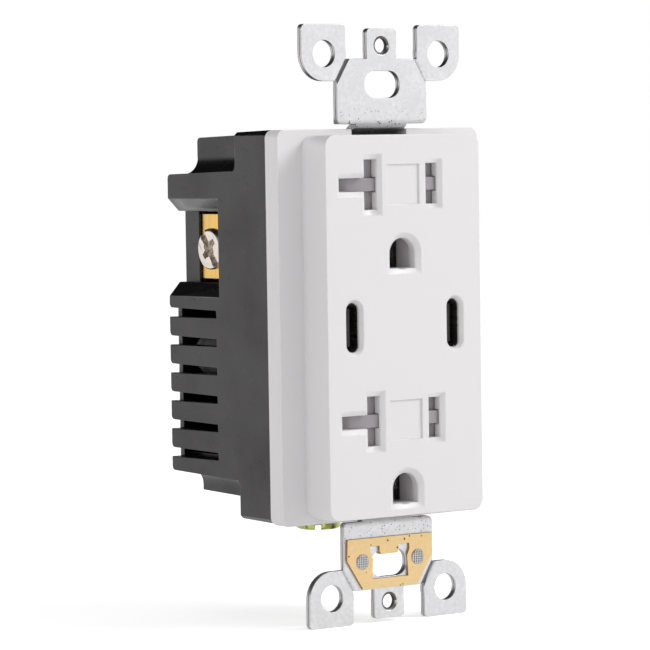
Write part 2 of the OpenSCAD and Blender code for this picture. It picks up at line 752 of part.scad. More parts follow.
module port_controllers() {
  y = port_board_y + 1.2;
  color("black") for (s = [-1, 1]) box([s * 9 - 2.5, s * 9 + 2.5], [y, y + 0.9], [0.8, 5.8]);
}

module port_inductors() {
  y = port_board_y + 1.2;
  color("gray") for (s = [-1, 1]) box([s * 9.2 - 2.6, s * 9.2 + 2.6], [y, y + 3], [-6.6, -1.4]);
}

module board_header() {
  y = port_board_y + 1.2;
  color("black") {
    box([-4.2, 4.2], [y, y + 2.5], [-5, -2.5]);
    for (k = [-2.5 : 2.5]) bar_y(k * 1.4, -3.75, y + 2.4, power_board_y, 0.3);
  }
}

module insulating_film() {
  color("ivory") box([-5.9, 5.9], [2.7, 3.1], [-7.3, 7.3]);
}

module power_board() {
  color("darkgreen") difference() {
    box([-18.6, 18.6], [power_board_y, parts_y], [-24, 2.8]);
    for (s = [-1, 1])
      box([s * (tab_x + 0.4) - 0.7, s * (tab_x + 0.4) + 0.7], [power_board_y - 1, parts_y + 1], [-0.8, 2]);
  }
}

module transformer_bobbin() {
  color("black") box([-8, 8], [parts_y, parts_y + 2], [-20, -4.2]);
}

module transformer_core() {
  color("dimgray") difference() {
    box([-8, 8], [parts_y + 2.2, parts_y + 14.2], [-15, -9]);
    for (s = [-1, 1])
      box([s * 4 - 1.85, s * 4 + 1.85], [parts_y + 4.6, parts_y + 11.8], [-16, -8]);
  }
}

module transformer_coil() {
  color("khaki") difference() {
    box([-5.6, 5.6], [parts_y + 4.8, parts_y + 11.6], [-18.5, -5.5]);
    box([-2.25, 2.25], [parts_y, parts_y + 14], [-15.1, -8.9]);
  }
}

// A tall and a low electrolytic capacitor beside the left vents
module storage_capacitors() {
  color("black") for (can = [[-5.6, 15.5], [-14.2, 7.5]])
    bar_y(-14.6, can[0], parts_y, parts_y + can[1], 3.9);
}

module line_capacitor() {
  color("gold") box([10.5, 17.5], [parts_y, parts_y + 8.6], [-12, -2]);
}

module surge_disc() {
  color("steelblue") bar_x(parts_y + 4.6, -17.6, 9.8, 13, 4.4);
}

module line_fuse() {
  color("seagreen") bar_y(17, -20.5, parts_y, parts_y + 10.5, 1.7);
}

module line_choke() {
  color("sienna") bar_y(0, -0.9, parts_y, parts_y + 8, 3);
}

module heat_sink() {
  color("lightgray") box([-8, 8], [parts_y, parts_y + 12], [-23.2, -22]);
}

module power_transistor() {
  color("black") box([-3, 3], [parts_y + 1, parts_y + 8], [-22, -20.2]);
}

module housing_screws() {
  color("silver") for (sx = [-1, 1], sz = [-1, 1]) difference() {
    union() {
      bar_y(sx * corner_x, sz * corner_z, front_block_y, front_block_y + 1.5, 1.9);
      bar_y(sx * corner_x, sz * corner_z, 1.2, front_block_y + eps, 0.92);
    }
    translate([sx * corner_x, front_block_y + 1.5, sz * corner_z]) {
      cube([2.2, 1.4, 0.5], center = true);
      cube([0.5, 1.4, 2.2], center = true);
    }
  }
}

face_cover();
rear_housing();
contact_carrier();
shutter_tray();
mounting_strap();
grounding_clip();
ground_contacts();
ground_rivets();
neutral_bus();
hot_bus();
neutral_clamp();
neutral_screw();
hot_clamp();
hot_screw();
ground_clamp();
ground_screw();
upper_shutter();
lower_shutter();
upper_shutter_spring();
lower_shutter_spring();
left_port_shell();
right_port_shell();
left_port_tongue();
right_port_tongue();
port_board();
port_controllers();
port_inductors();
board_header();
insulating_film();
power_board();
transformer_bobbin();
transformer_core();
transformer_coil();
storage_capacitors();
line_capacitor();
surge_disc();
line_fuse();
line_choke();
heat_sink();
power_transistor();
bridge_rectifier();
isolator_chip();
housing_screws();
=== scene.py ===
import json
from math import cos, pi, radians, sin, tau

import bmesh
import bpy
from mathutils import Matrix, Vector

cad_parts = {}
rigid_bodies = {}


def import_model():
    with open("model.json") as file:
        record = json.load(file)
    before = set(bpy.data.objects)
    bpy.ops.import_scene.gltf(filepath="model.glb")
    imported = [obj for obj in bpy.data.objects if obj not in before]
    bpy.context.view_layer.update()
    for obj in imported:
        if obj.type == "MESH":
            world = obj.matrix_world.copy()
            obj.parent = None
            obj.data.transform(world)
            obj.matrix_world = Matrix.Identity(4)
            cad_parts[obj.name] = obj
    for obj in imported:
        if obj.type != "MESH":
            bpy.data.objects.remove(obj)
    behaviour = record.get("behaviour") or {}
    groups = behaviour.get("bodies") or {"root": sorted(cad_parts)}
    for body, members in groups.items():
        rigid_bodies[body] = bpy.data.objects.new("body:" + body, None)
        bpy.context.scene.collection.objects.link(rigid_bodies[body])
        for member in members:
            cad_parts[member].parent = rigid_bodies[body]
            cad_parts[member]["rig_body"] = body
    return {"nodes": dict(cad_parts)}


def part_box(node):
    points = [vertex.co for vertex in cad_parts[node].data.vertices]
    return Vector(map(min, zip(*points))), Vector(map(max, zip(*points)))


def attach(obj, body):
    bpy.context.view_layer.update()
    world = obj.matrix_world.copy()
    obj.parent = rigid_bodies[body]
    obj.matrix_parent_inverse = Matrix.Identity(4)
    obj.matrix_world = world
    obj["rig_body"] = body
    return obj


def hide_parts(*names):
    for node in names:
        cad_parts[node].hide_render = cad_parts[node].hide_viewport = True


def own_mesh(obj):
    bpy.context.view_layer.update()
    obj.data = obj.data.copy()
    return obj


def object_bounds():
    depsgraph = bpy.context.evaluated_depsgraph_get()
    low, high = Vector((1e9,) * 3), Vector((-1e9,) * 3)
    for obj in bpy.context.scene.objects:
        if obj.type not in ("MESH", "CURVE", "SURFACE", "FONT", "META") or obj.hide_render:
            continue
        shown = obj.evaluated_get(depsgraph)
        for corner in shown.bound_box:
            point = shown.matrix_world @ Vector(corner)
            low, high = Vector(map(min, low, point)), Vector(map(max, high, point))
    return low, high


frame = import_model()
cad_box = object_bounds()
mm = 0.001
scene = bpy.context.scene
scene.view_settings.view_transform = "Standard"

# ---------------------------------------------------------------------------
# Camera: a long lens from the front left and slightly above, on a tripod that
# leans by less than a degree.
# ---------------------------------------------------------------------------
camera_data = bpy.data.cameras.new("camera")
camera = bpy.data.objects.new("camera", camera_data)
scene.collection.objects.link(camera)
camera_data.lens = 191.7
camera_data.sensor_width = 36
camera_data.shift_x = -0.0023
camera_data.shift_y = 0.0055
camera_data.clip_start = 0.05
camera.location = (-0.36037, -0.48294, 0.03125)
azimuth, elevation, roll = radians(-35.82), radians(3.03), radians(-0.887)
camera.rotation_euler = (
    Matrix.Rotation(azimuth, 3, "Z")
    @ Matrix.Rotation(pi / 2 - elevation, 3, "X")
    @ Matrix.Rotation(roll, 3, "Z")
).to_euler()
scene.camera = camera


# ---------------------------------------------------------------------------
# Stage: a white sweep under the outlet, a large soft lamp high on the right and
# a weak one on the left. Glossy faces mirror bright walls below a dark ceiling.
# ---------------------------------------------------------------------------
def add(tree, kind, inputs=None, **settings):
    """A node of that kind. An input that is a socket is linked, any other is a value."""
    node = tree.nodes.new(kind)
    for key, value in settings.items():
        setattr(node, key, value)
    for key, value in (inputs or {}).items():
        if isinstance(value, bpy.types.NodeSocket):
            tree.links.new(value, node.inputs[key])
        else:
            node.inputs[key].default_value = value
    return node


def work_out(tree, operation, a, b=0.0):
    """The result of a Math node."""
    return add(tree, "ShaderNodeMath", {0: a, 1: b}, operation=operation).outputs[0]


def between(tree, value, low, high, to_low=0.0, to_high=1.0):
    """The value mapped from one range to another, held at its ends."""
    inputs = {"Value": value, "From Min": low, "From Max": high, "To Min": to_low, "To Max": to_high}
    return add(tree, "ShaderNodeMapRange", inputs).outputs["Result"]


def mixed(tree, factor, a, b):
    """One number turned into another by the factor."""
    return add(tree, "ShaderNodeMix", {0: factor, 2: a, 3: b}, data_type="FLOAT").outputs[0]


def tinted(tree, factor, a, b):
    """One colour turned into another by the factor."""
    return add(tree, "ShaderNodeMix", {0: factor, 6: a, 7: b}, data_type="RGBA").outputs[2]


def ray_kinds(tree):
    """Whether a ray comes from the camera, and whether it comes off or through a glossy thing."""
    kinds = add(tree, "ShaderNodeLightPath").outputs
    mirrored = work_out(tree, "MAXIMUM", kinds["Is Glossy Ray"], kinds["Is Transmission Ray"])
    return kinds["Is Camera Ray"], mirrored


def lamp(name, place, size, power):
    """A soft rectangular lamp at place, turned towards the middle of the outlet."""
    data = bpy.data.lights.new(name, "AREA")
    data.shape = "RECTANGLE"
    data.size, data.size_y = size
    data.energy = power
    thing = bpy.data.objects.new(name, data)
    thing.location = place
    thing.rotation_euler = (-Vector(place)).to_track_quat("-Z", "Y").to_euler()
    scene.collection.objects.link(thing)


lamp("key_lamp", (0.70, -0.58, 0.62), (0.5, 0.5), 6.6)
lamp("left_lamp", (-0.90, -0.10, 0.25), (0.7, 0.7), 1.26)

surround = bpy.data.worlds.new("surround")
scene.world = surround
surround.use_nodes = True
tree = surround.node_tree
tree.nodes.clear()
direction = add(tree, "ShaderNodeTexCoord").outputs["Generated"]
upward = add(tree, "ShaderNodeSeparateXYZ", {0: direction}).outputs["Z"]
wall_top, ceiling_edge, wall_glow, soft_light = 0.05, 0.27, 1.4, 0.55
walls_and_ceiling = between(tree, upward, wall_top, ceiling_edge, wall_glow, 0.0)
from_camera, mirrored = ray_kinds(tree)
indirect = mixed(tree, mirrored, soft_light, walls_and_ceiling)
strength = mixed(tree, from_camera, indirect, 1.0)
background = add(tree, "ShaderNodeBackground", {"Color": (1, 1, 1, 1), "Strength": strength})
add(tree, "ShaderNodeOutputWorld", {"Surface": background.outputs[0]})

floor_half = 2.0
floor_z = cad_box[0].z
floor_mesh = bpy.data.meshes.new("floor")
floor_mesh.from_pydata(
    [(x * floor_half, y * floor_half, floor_z) for x, y in ((-1, -1), (1, -1), (1, 1), (-1, 1))],
    [], [(0, 1, 2, 3)])
floor = bpy.data.objects.new("floor", floor_mesh)
scene.collection.objects.link(floor)
paper = bpy.data.materials.new("white_sweep")
paper.use_nodes = True
tree = paper.node_tree
shader = tree.nodes["Principled BSDF"]
seen = work_out(tree, "MAXIMUM", *ray_kinds(tree))
paper_glow = 0.55
tree.links.new(work_out(tree, "MULTIPLY", seen, paper_glow), shader.inputs["Emission Strength"])
shader.inputs["Emission Color"].default_value = (1, 1, 1, 1)
shader.inputs["Base Color"].default_value = (0.86, 0.86, 0.86, 1)
shader.inputs["Roughness"].default_value = 1.0
floor_mesh.materials.append(paper)


# ---------------------------------------------------------------------------
# Rear housing: one deep black polycarbonate moulding, spark textured in the
# mould, with cooling slots and two wiring recesses. Handling has left it with
# dull stains in its thin polished skin, fine scratches, dust and paler edges.
# ---------------------------------------------------------------------------
def effect(name, numbers, vectors=()):
    """A shader group with named number and vector inputs, and its object coordinates."""
    tree = bpy.data.node_groups.new(name, "ShaderNodeTree")
    tree.interface.new_socket("Amount", in_out="OUTPUT", socket_type="NodeSocketFloat")
    for key, value in numbers.items():
        tree.interface.new_socket(key, in_out="INPUT", socket_type="NodeSocketFloat").default_value = value
    for key in vectors:
        tree.interface.new_socket(key, in_out="INPUT", socket_type="NodeSocketVector")
    return tree, add(tree, "NodeGroupInput").outputs, add(tree, "ShaderNodeTexCoord").outputs["Object"]


# soft patches between 0 and 1; a high scale makes them a grain
patches, given, place = effect("soft_patches", {"Scale": 100.0})
noise = add(patches, "ShaderNodeTexNoise", {"Vector": place, "Scale": given["Scale"], "Detail": 4.0})
add(patches, "NodeGroupOutput", {0: between(patches, noise.outputs["Fac"], 0.3, 0.7)})

# round specks of dirt, pits or spots of many sizes
specks, given, place = effect("scattered_specks", {"Scale": 800.0, "Size": 0.3, "Share": 0.3})
cell = add(specks, "ShaderNodeTexVoronoi", {"Vector": place, "Scale": given["Scale"]}).outputs
tone = add(specks, "ShaderNodeSeparateColor", {0: cell["Color"]}).outputs
radius = work_out(specks, "MULTIPLY", tone["Green"], given["Size"])
dot = between(specks, cell["Distance"], radius, work_out(specks, "MULTIPLY", radius, 0.6))
chosen = work_out(specks, "LESS_THAN", tone["Red"], given["Share"])
add(specks, "NodeGroupOutput", {0: work_out(specks, "MULTIPLY", dot, chosen)})

# streaks drawn out along one direction: scratches, rolling, brushing and shear marks
streaks, given, place = effect("drawn_out_streaks", {"Low": 0.6, "High": 0.7}, ("Stretch", "Turn"))
turned_place = add(streaks, "ShaderNodeMapping", {"Vector": place, "Rotation": given["Turn"]}).outputs[0]
drawn = add(streaks, "ShaderNodeVectorMath", {0: turned_place, 1: given["Stretch"]}, operation="MULTIPLY")
line = add(streaks, "ShaderNodeTexNoise", {"Vector": drawn.outputs[0], "Scale": 1.0, "Detail": 3.0})
add(streaks, "NodeGroupOutput", {0: between(streaks, line.outputs["Fac"], given["Low"], given["High"])})


def amount(material, group, **values):
    """How much of an effect each spot of a material's surface has."""
    node = add(material.node_tree, "ShaderNodeGroup", node_tree=group)
    for key, value in values.items():
        node.inputs[key].default_value = value
    return node.outputs[0]


def scratched(material, stretch, turn, low, high):
    """Streaks with their stretch per metre and their turn in degrees."""
    return amount(material, streaks, Stretch=stretch, Turn=[radians(a) for a in turn], Low=low, High=high)


def marked(material, name, spread=0.0):
    """A mark that the mesh carries on its faces, broken up by patches that cover the given share."""
    mark = add(material.node_tree, "ShaderNodeAttribute", attribute_name=name).outputs["Fac"]
    if not spread:
        return mark
    worn = between(material.node_tree, amount(material, patches, Scale=900.0), spread, 1.0)
    return work_out(material.node_tree, "MULTIPLY", mark, worn)


def finish(name, colour, roughness, metallic=0.0, *, vary, patch=60.0, grain=0.003, **extra):
    """A material whose colour and roughness vary in soft patches, with a grain of that height in mm."""
    material = bpy.data.materials.new(name)
    material.use_nodes = True
    tree = material.node_tree
    shader = tree.nodes["Principled BSDF"]
    shader.inputs["Metallic"].default_value = metallic
    for key, value in extra.items():
        shader.inputs[key].default_value = value
    soft = amount(material, patches, Scale=patch)
    dark, light = ([min(1.0, c * (1 + s * vary)) for c in colour] + [1] for s in (-1, 1))
    tree.links.new(tinted(tree, soft, dark, light), shader.inputs["Base Color"])
    rough = between(tree, soft, 0.0, 1.0, roughness - 0.05, roughness + 0.05)
    tree.links.new(rough, shader.inputs["Roughness"])
    height = work_out(tree, "MULTIPLY", amount(material, patches, Scale=6000.0), grain * mm)
    bump = add(tree, "ShaderNodeBump", {"Height": height, "Strength": 1.0, "Distance": 1.0})
    tree.links.new(bump.outputs[0], shader.inputs["Normal"])
    return material


def over(material, mask, colour, roughness, depth=0.0):
    """A layer over a finish where its mask is, of another colour and roughness, sunk by a depth in mm."""
    tree = material.node_tree
    shader = tree.nodes["Principled BSDF"]
    socket = shader.inputs["Base Color"]
    tree.links.new(tinted(tree, mask, socket.links[0].from_socket, (*colour, 1)), socket)
    socket = shader.inputs["Roughness"]
    tree.links.new(mixed(tree, mask, socket.links[0].from_socket, roughness), socket)
    if depth:
        socket = shader.inputs["Normal"].links[0].from_node.inputs["Height"]
        sunk = work_out(tree, "MULTIPLY", mask, depth * mm)
        tree.links.new(work_out(tree, "SUBTRACT", socket.links[0].from_socket, sunk), socket)


def put(name, mesh, like, slot, material, *nodes):
    """A finished piece that rides with the body of a CAD node and stands for the named nodes."""
    mesh.name = name
    mesh.materials.clear()
    mesh.materials.append(material)
    piece = bpy.data.objects.new(name, mesh)
    scene.collection.objects.link(piece)
    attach(piece, frame["nodes"][like]["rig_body"])
    if nodes:
        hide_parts(*nodes)
    return piece


def settled(thing):
    """The plain mesh that an object's modifiers or curve give. The object itself is removed."""
    scene.collection.objects.link(thing)
    graph = bpy.context.evaluated_depsgraph_get()
    mesh = bpy.data.meshes.new_from_object(thing.evaluated_get(graph), depsgraph=graph)
    bpy.data.objects.remove(thing)
    return mesh


def evened(mesh, smooth=35):
    """Smooth shading with crisp edges, where large faces stay flat and small ones take the turn."""
    mesh.shade_smooth()
    mesh.set_sharp_from_angle(angle=radians(smooth))
    thing = bpy.data.objects.new("evened", mesh)
    modifier = thing.modifiers.new("evened", "WEIGHTED_NORMAL")
    modifier.keep_sharp = True
    modifier.weight = 100
    return settled(thing)


def roomy(edge, size, sharp):
    """Whether the faces beside an edge leave room for its rounding and that of sharp edges across."""
    lone_width, shared_width = 1.05 * size, 2.1 * size
    for loop in edge.link_loops:
        start, run = loop.vert.co, loop.link_loop_next.vert.co - loop.vert.co
        along = run.normalized()
        inward = loop.face.normal.cross(along)
        for other in loop.face.edges:
            if set(other.verts) & set(edge.verts):
                continue
            offsets = [corner.co - start for corner in other.verts]
            (u0, v0), (u1, v1) = sorted((offset.dot(along), offset.dot(inward)) for offset in offsets)
            low, high = max(u0, 0.0), min(u1, run.length)
            if low > high:
                continue
            nearest = min(v0, v1)
            if u1 > u0 + 1e-9:
                slope = (v1 - v0) / (u1 - u0)
                nearest = min(v0 + slope * (low - u0), v0 + slope * (high - u0))
            if 0.0 < nearest < (shared_width if other in sharp else lone_width):
                return False
    return True


def level_at(edge, back):
    """Whether an edge runs level along a body's back, and is longer than one step of a curve."""
    a, b = (corner.co for corner in edge.verts)
    return min(a.y, b.y) > back and abs(a.x - b.x) > 1.6 * mm and abs(a.z - b.z) < 0.01 * mm


def eased(node, radius, segments=2, back_radius=0):
    """A merged copy of a CAD node with its outer edges rounded, the level ones at its back by
    back_radius. Rounded faces carry the mark edge, and faces square to the wall the mark sheared."""
    seam, flat, outer = 0.025 * mm, radians(0.6), radians(28)
    bm = bmesh.new()
    bm.from_mesh(frame["nodes"][node].data)
    bmesh.ops.remove_doubles(bm, verts=bm.verts, dist=seam)
    bmesh.ops.dissolve_limit(bm, angle_limit=flat, verts=bm.verts, edges=bm.edges)
    edge, sheared = bm.faces.layers.float.new("edge"), bm.faces.layers.float.new("sheared")
    bm.normal_update()
    for face in bm.faces:
        face[sheared] = abs(face.normal.y) < 0.3
    back = max(corner.co.y for corner in bm.verts) - 1e-6
    sharp = [e for e in bm.edges if e.is_convex and e.calc_face_angle(0.0) > outer]
    at_back = [e for e in sharp if back_radius and level_at(e, back)]
    all_sharp, back_edges = set(sharp), set(at_back)
    for edges, size in ((at_back, back_radius), ([e for e in sharp if e not in back_edges], radius)):
        edges = [e for e in edges if e.is_valid and roomy(e, size * mm, all_sharp)]
        made = bmesh.ops.bevel(bm, geom=edges, offset=size * mm, segments=segments, profile=0.5,
                               affect="EDGES", clamp_overlap=False, loop_slide=False)
        for face in made["faces"]:
            face[edge] = 1.0
    mesh = bpy.data.meshes.new(node)
    bm.to_mesh(mesh)
    bm.free()
    return evened(mesh)


def rounded(node, radius, slot, material, **settings):
    """Puts the rounded copy of a CAD node in its place."""
    return put(node + "_part", eased(node, radius, **settings), node, slot, material, node)


black = finish("black_moulding", (0.0070, 0.0062, 0.0066), 0.24, vary=0.3, patch=70.0, grain=0.0012)
gloss = black.node_tree.nodes["Principled BSDF"].inputs
gloss["Specular IOR Level"].default_value = 0.345
gloss["Specular Tint"].default_value = (1.0, 0.925, 0.965, 1.0)
gloss["Coat Roughness"].default_value = 0.24
skin = between(black.node_tree, amount(black, patches, Scale=75.0), 0.35, 1.0, 0.23, 0.0)
black.node_tree.links.new(skin, gloss["Coat Weight"])
over(black, amount(black, patches, Scale=38.0), (0.0145, 0.0125, 0.0132), 0.28)
over(black, amount(black, patches, Scale=210.0), (0.0080, 0.0074, 0.0078), 0.31)
for turn, shade, roughness in (((32, 0, 20), 0.034, 0.42), ((-24, 0, 65), 0.002, 0.62)):
    scratches = scratched(black, (300, 300, 4600), turn, 0.68, 0.72)
    over(black, scratches, (shade, shade, shade), roughness, depth=0.001)
over(black, marked(black, "edge", 0.35), (0.024, 0.023, 0.024), 0.36)
over(black, amount(black, specks, Scale=520.0, Size=0.10, Share=0.14), (0.20, 0.19, 0.18), 0.8)
rounded("rear_housing", 0.14, "black_housing", black, segments=3, back_radius=0.75)


# ---------------------------------------------------------------------------
# Power board: a green glass-fibre board with its tinned joints on the front face.
# It rests on posts of the housing and carries the charger's mains side.
# ---------------------------------------------------------------------------
def joined(*shells):
    """One mesh of several closed shells, each turned outwards."""
    whole = bmesh.new()
    for shell in shells:
        mesh = shell
        if isinstance(shell, bmesh.types.BMesh):
            mesh = bpy.data.meshes.new("shell")
            bmesh.ops.recalc_face_normals(shell, faces=shell.faces)
            shell.to_mesh(mesh)
            shell.free()
        whole.from_mesh(mesh)
    mesh = bpy.data.meshes.new("joined")
    whole.to_mesh(mesh)
    whole.free()
    return evened(mesh)


def block(x, y, z, radius, segments=2):
    """A rounded box between two limits on each axis, in mm."""
    bm = bmesh.new()
    bmesh.ops.create_cube(bm, size=mm)
    for corner in bm.verts:
        for i, (low, high) in enumerate((x, y, z)):
            corner.co[i] = corner.co[i] * (high - low) + (low + high) / 2 * mm
    bmesh.ops.bevel(bm, geom=bm.edges[:], offset=radius * mm, segments=segments, profile=0.5, affect="EDGES")
    return bm


def turned(profile, centre, along="Y", sides=40):
    """A closed round body: (distance, radius) steps in mm turned about an axis through centre."""
    bm = bmesh.new()
    axis = "XYZ".index(along)
    rings = []
    for step, radius in profile:
        rings.append([])
        for k in range(sides):
            spot = list(centre)
            spot[axis] += step
            spot[(axis + 1) % 3] += radius * cos(tau * k / sides)
            spot[(axis + 2) % 3] += radius * sin(tau * k / sides)
            rings[-1].append(bm.verts.new([c * mm for c in spot]))
    for a, b in zip(rings, rings[1:]):
        for k in range(sides):
            bm.faces.new((a[k], a[k - 1], b[k - 1], b[k]))
    bm.faces.new(rings[0])
    bm.faces.new(rings[-1][::-1])
    return bm


def wire(points, radius):
    """A round wire through points in mm."""
    curve = bpy.data.curves.new("wire", "CURVE")
    curve.dimensions = "3D"
    curve.bevel_depth = radius * mm
    curve.bevel_resolution = 2
    curve.use_fill_caps = True
    spline = curve.splines.new("POLY")
    spline.points.add(len(points) - 1)
    for point, spot in zip(spline.points, points):
        point.co = [c * mm for c in spot] + [1]
    return settled(bpy.data.objects.new("wire", curve))


# rows of one part: the part is placed at every step of the columns and rows
rows = bpy.data.node_groups.new("rows_of_a_part", "GeometryNodeTree")
for key, kind in (("Part", "Object"), ("Columns", "Int"), ("Rows", "Int"), ("Start", "Vector"),
                  ("Column Step", "Vector"), ("Row Step", "Vector"), ("Material", "Material")):
    rows.interface.new_socket(key, in_out="INPUT", socket_type="NodeSocket" + kind)
rows.interface.new_socket("Geometry", in_out="OUTPUT", socket_type="NodeSocketGeometry")
given = add(rows, "NodeGroupInput").outputs
line = add(rows, "GeometryNodeMeshLine", {
    "Count": given["Columns"], "Start Location": given["Start"], "Offset": given["Column Step"]}).outputs[0]
row = add(rows, "GeometryNodeMeshLine", {"Count": given["Rows"], "Offset": given["Row Step"]}).outputs[0]
spots = add(rows, "GeometryNodeInstanceOnPoints", {"Points": line, "Instance": row}).outputs[0]
spots = add(rows, "GeometryNodeRealizeInstances", {0: spots}).outputs[0]
part = add(rows, "GeometryNodeObjectInfo", {"Object": given["Part"]}).outputs["Geometry"]
parts = add(rows, "GeometryNodeInstanceOnPoints", {"Points": spots, "Instance": part}).outputs[0]
parts = add(rows, "GeometryNodeRealizeInstances", {0: parts}).outputs[0]
parts = add(rows, "GeometryNodeSetMaterial", {"Geometry": parts, "Material": given["Material"]}).outputs[0]
add(rows, "NodeGroupOutput", {"Geometry": parts})


def made_by(tree, **values):
    """The mesh that a Geometry Nodes tree makes; an underscore stands for a space in an input's name."""
    thing = bpy.data.objects.new(tree.name, bpy.data.meshes.new(tree.name))
    modifier = thing.modifiers.new(tree.name, "NODES")
    modifier.node_group = tree
    for item in tree.interface.items_tree:
        key = item.name.replace(" ", "_")
        if key in values:
            modifier[item.identifier] = values[key]
    return settled(thing)


def repeated(part, material, start, columns=1, step=(0, 0, 0), count=1, row_step=(0, 0, 0)):
    """Rows of one small part, which is made at the origin; all lengths in mm."""
    unit = bpy.data.objects.new("unit", joined(part))
    scene.collection.objects.link(unit)
    scaled = [[c * mm for c in vector] for vector in (start, step, row_step)]
    mesh = made_by(rows, Part=unit, Columns=columns, Rows=count, Start=scaled[0],
                   Column_Step=scaled[1], Row_Step=scaled[2], Material=material)
    bpy.data.objects.remove(unit)
    return mesh


# copper tracks under the solder mask: dashes of many lengths on a fine pitch
tracks, given, place = effect("copper_tracks", {"Pitch": 900.0, "Length": 160.0})
spot = add(tracks, "ShaderNodeSeparateXYZ", {0: place}).outputs
across = work_out(tracks, "MULTIPLY", spot["Z"], given["Pitch"])
along = work_out(tracks, "MULTIPLY", spot["X"], given["Length"])
lane = work_out(tracks, "FLOOR", across)
shift = add(tracks, "ShaderNodeTexWhiteNoise", {"W": lane}, noise_dimensions="1D").outputs["Value"]
dash = work_out(tracks, "FLOOR", work_out(tracks, "ADD", along, work_out(tracks, "MULTIPLY", shift, 7.0)))
cell = add(tracks, "ShaderNodeCombineXYZ", {"X": lane, "Y": dash}).outputs[0]
there = add(tracks, "ShaderNodeTexWhiteNoise", {"Vector": cell}, noise_dimensions="2D").outputs["Value"]
wide = work_out(tracks, "LESS_THAN", work_out(tracks, "PINGPONG", across, 0.5), 0.28)
kept = work_out(tracks, "GREATER_THAN", there, 0.42)
add(tracks, "NodeGroupOutput", {0: work_out(tracks, "MULTIPLY", wide, kept)})

mask_green = finish("solder_mask", (0.012, 0.125, 0.045), 0.28, vary=0.08, grain=0.001)
copper_below = amount(mask_green, tracks, Pitch=620.0, Length=130.0)
over(mask_green, copper_below, (0.030, 0.230, 0.075), 0.24, depth=-0.03)
over(mask_green, marked(mask_green, "edge", 0.2), (0.28, 0.27, 0.13), 0.7)
tin = finish("tinned_joint", (0.66, 0.66, 0.67), 0.24, 1.0, vary=0.10, patch=900.0)
over(tin, amount(tin, specks, Scale=2600.0, Size=0.35, Share=0.2), (0.20, 0.15, 0.10), 0.6)
board_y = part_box("power_board")[0].y / mm
parts_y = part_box("power_board")[1].y / mm
rounded("power_board", 0.08, "circuit_board", mask_green)
fillet = [(-0.42, 0.22), (-0.25, 0.3), (-0.1, 0.48), (0.02, 0.7), (0.05, 0.7)]
joint_rows = ((-7.2, -5.4, 5, 3.6), (-7.2, -18.6, 5, 3.6), (10.9, -3.2, 2, 6.2),
              (-16.4, -9.0, 2, 3.6), (-4.5, -22.6, 4, 3.0), (11.0, -20.6, 3, 2.9))
joints = [repeated(turned(fillet, (0, 0, 0), sides=12), tin, (x, board_y, z), columns, (pitch, 0, 0))
          for x, z, columns, pitch in joint_rows]
put("power_board_joints", joined(*joints), "power_board", "port_steel", tin)

# ---------------------------------------------------------------------------
# Transformer: a black bobbin, a sintered ferrite core round it and a winding
# covered in yellow polyester tape. Its pins are soldered into the board.
# ---------------------------------------------------------------------------
moulded_black = finish("glass_filled_black", (0.018, 0.018, 0.019), 0.48, vary=0.15, grain=0.006)
over(moulded_black, marked(moulded_black, "edge", 0.5), (0.06, 0.06, 0.06), 0.55)
base = [block((-8, 8), (parts_y, parts_y + 1.9), (z, z + 3.4), 0.25) for z in (-20, -7.6)]
cheeks = [block((-6.2, 6.2), (parts_y + 1.9 - 0.3, parts_y + 2.0), (-17.5, -6.8), 0.04)]
pins = [repeated(block((-0.3, 0.3), (-1.6, 0.2), (-0.3, 0.3), 0.08), tin, (-7.2, parts_y + 0.1, z),
                 columns=5, step=(3.6, 0, 0)) for z in (-18.6, -5.4)]
put("bobbin_part", joined(*base, *cheeks), "transformer_bobbin", "black_plastic", moulded_black,
    "transformer_bobbin")
put("bobbin_pins", joined(*pins), "transformer_bobbin", "port_steel", tin)
ferrite = finish("sintered_ferrite", (0.050, 0.050, 0.054), 0.55, 0.2, vary=0.2, patch=400.0, grain=0.010)
over(ferrite, marked(ferrite, "edge", 0.3), (0.12, 0.12, 0.125), 0.4)
pores = amount(ferrite, specks, Scale=1500.0, Size=0.3, Share=0.25)
over(ferrite, pores, (0.02, 0.02, 0.02), 0.8, depth=0.02)
rounded("transformer_core", 0.22, "ferrite", ferrite)
tape = finish("polyester_tape", (0.76, 0.58, 0.10), 0.22, vary=0.06, patch=300.0, **{"Coat Weight": 0.3})
over(tape, scratched(tape, (40, 40, 1400), (0, 0, 0), 0.52, 0.60), (0.62, 0.42, 0.05), 0.3, depth=0.03)
over(tape, amount(tape, specks, Scale=500.0, Size=0.25, Share=0.12), (0.86, 0.70, 0.22), 0.35, depth=-0.03)
rounded("transformer_coil", 0.9, "coil_tape", tape, segments=5)

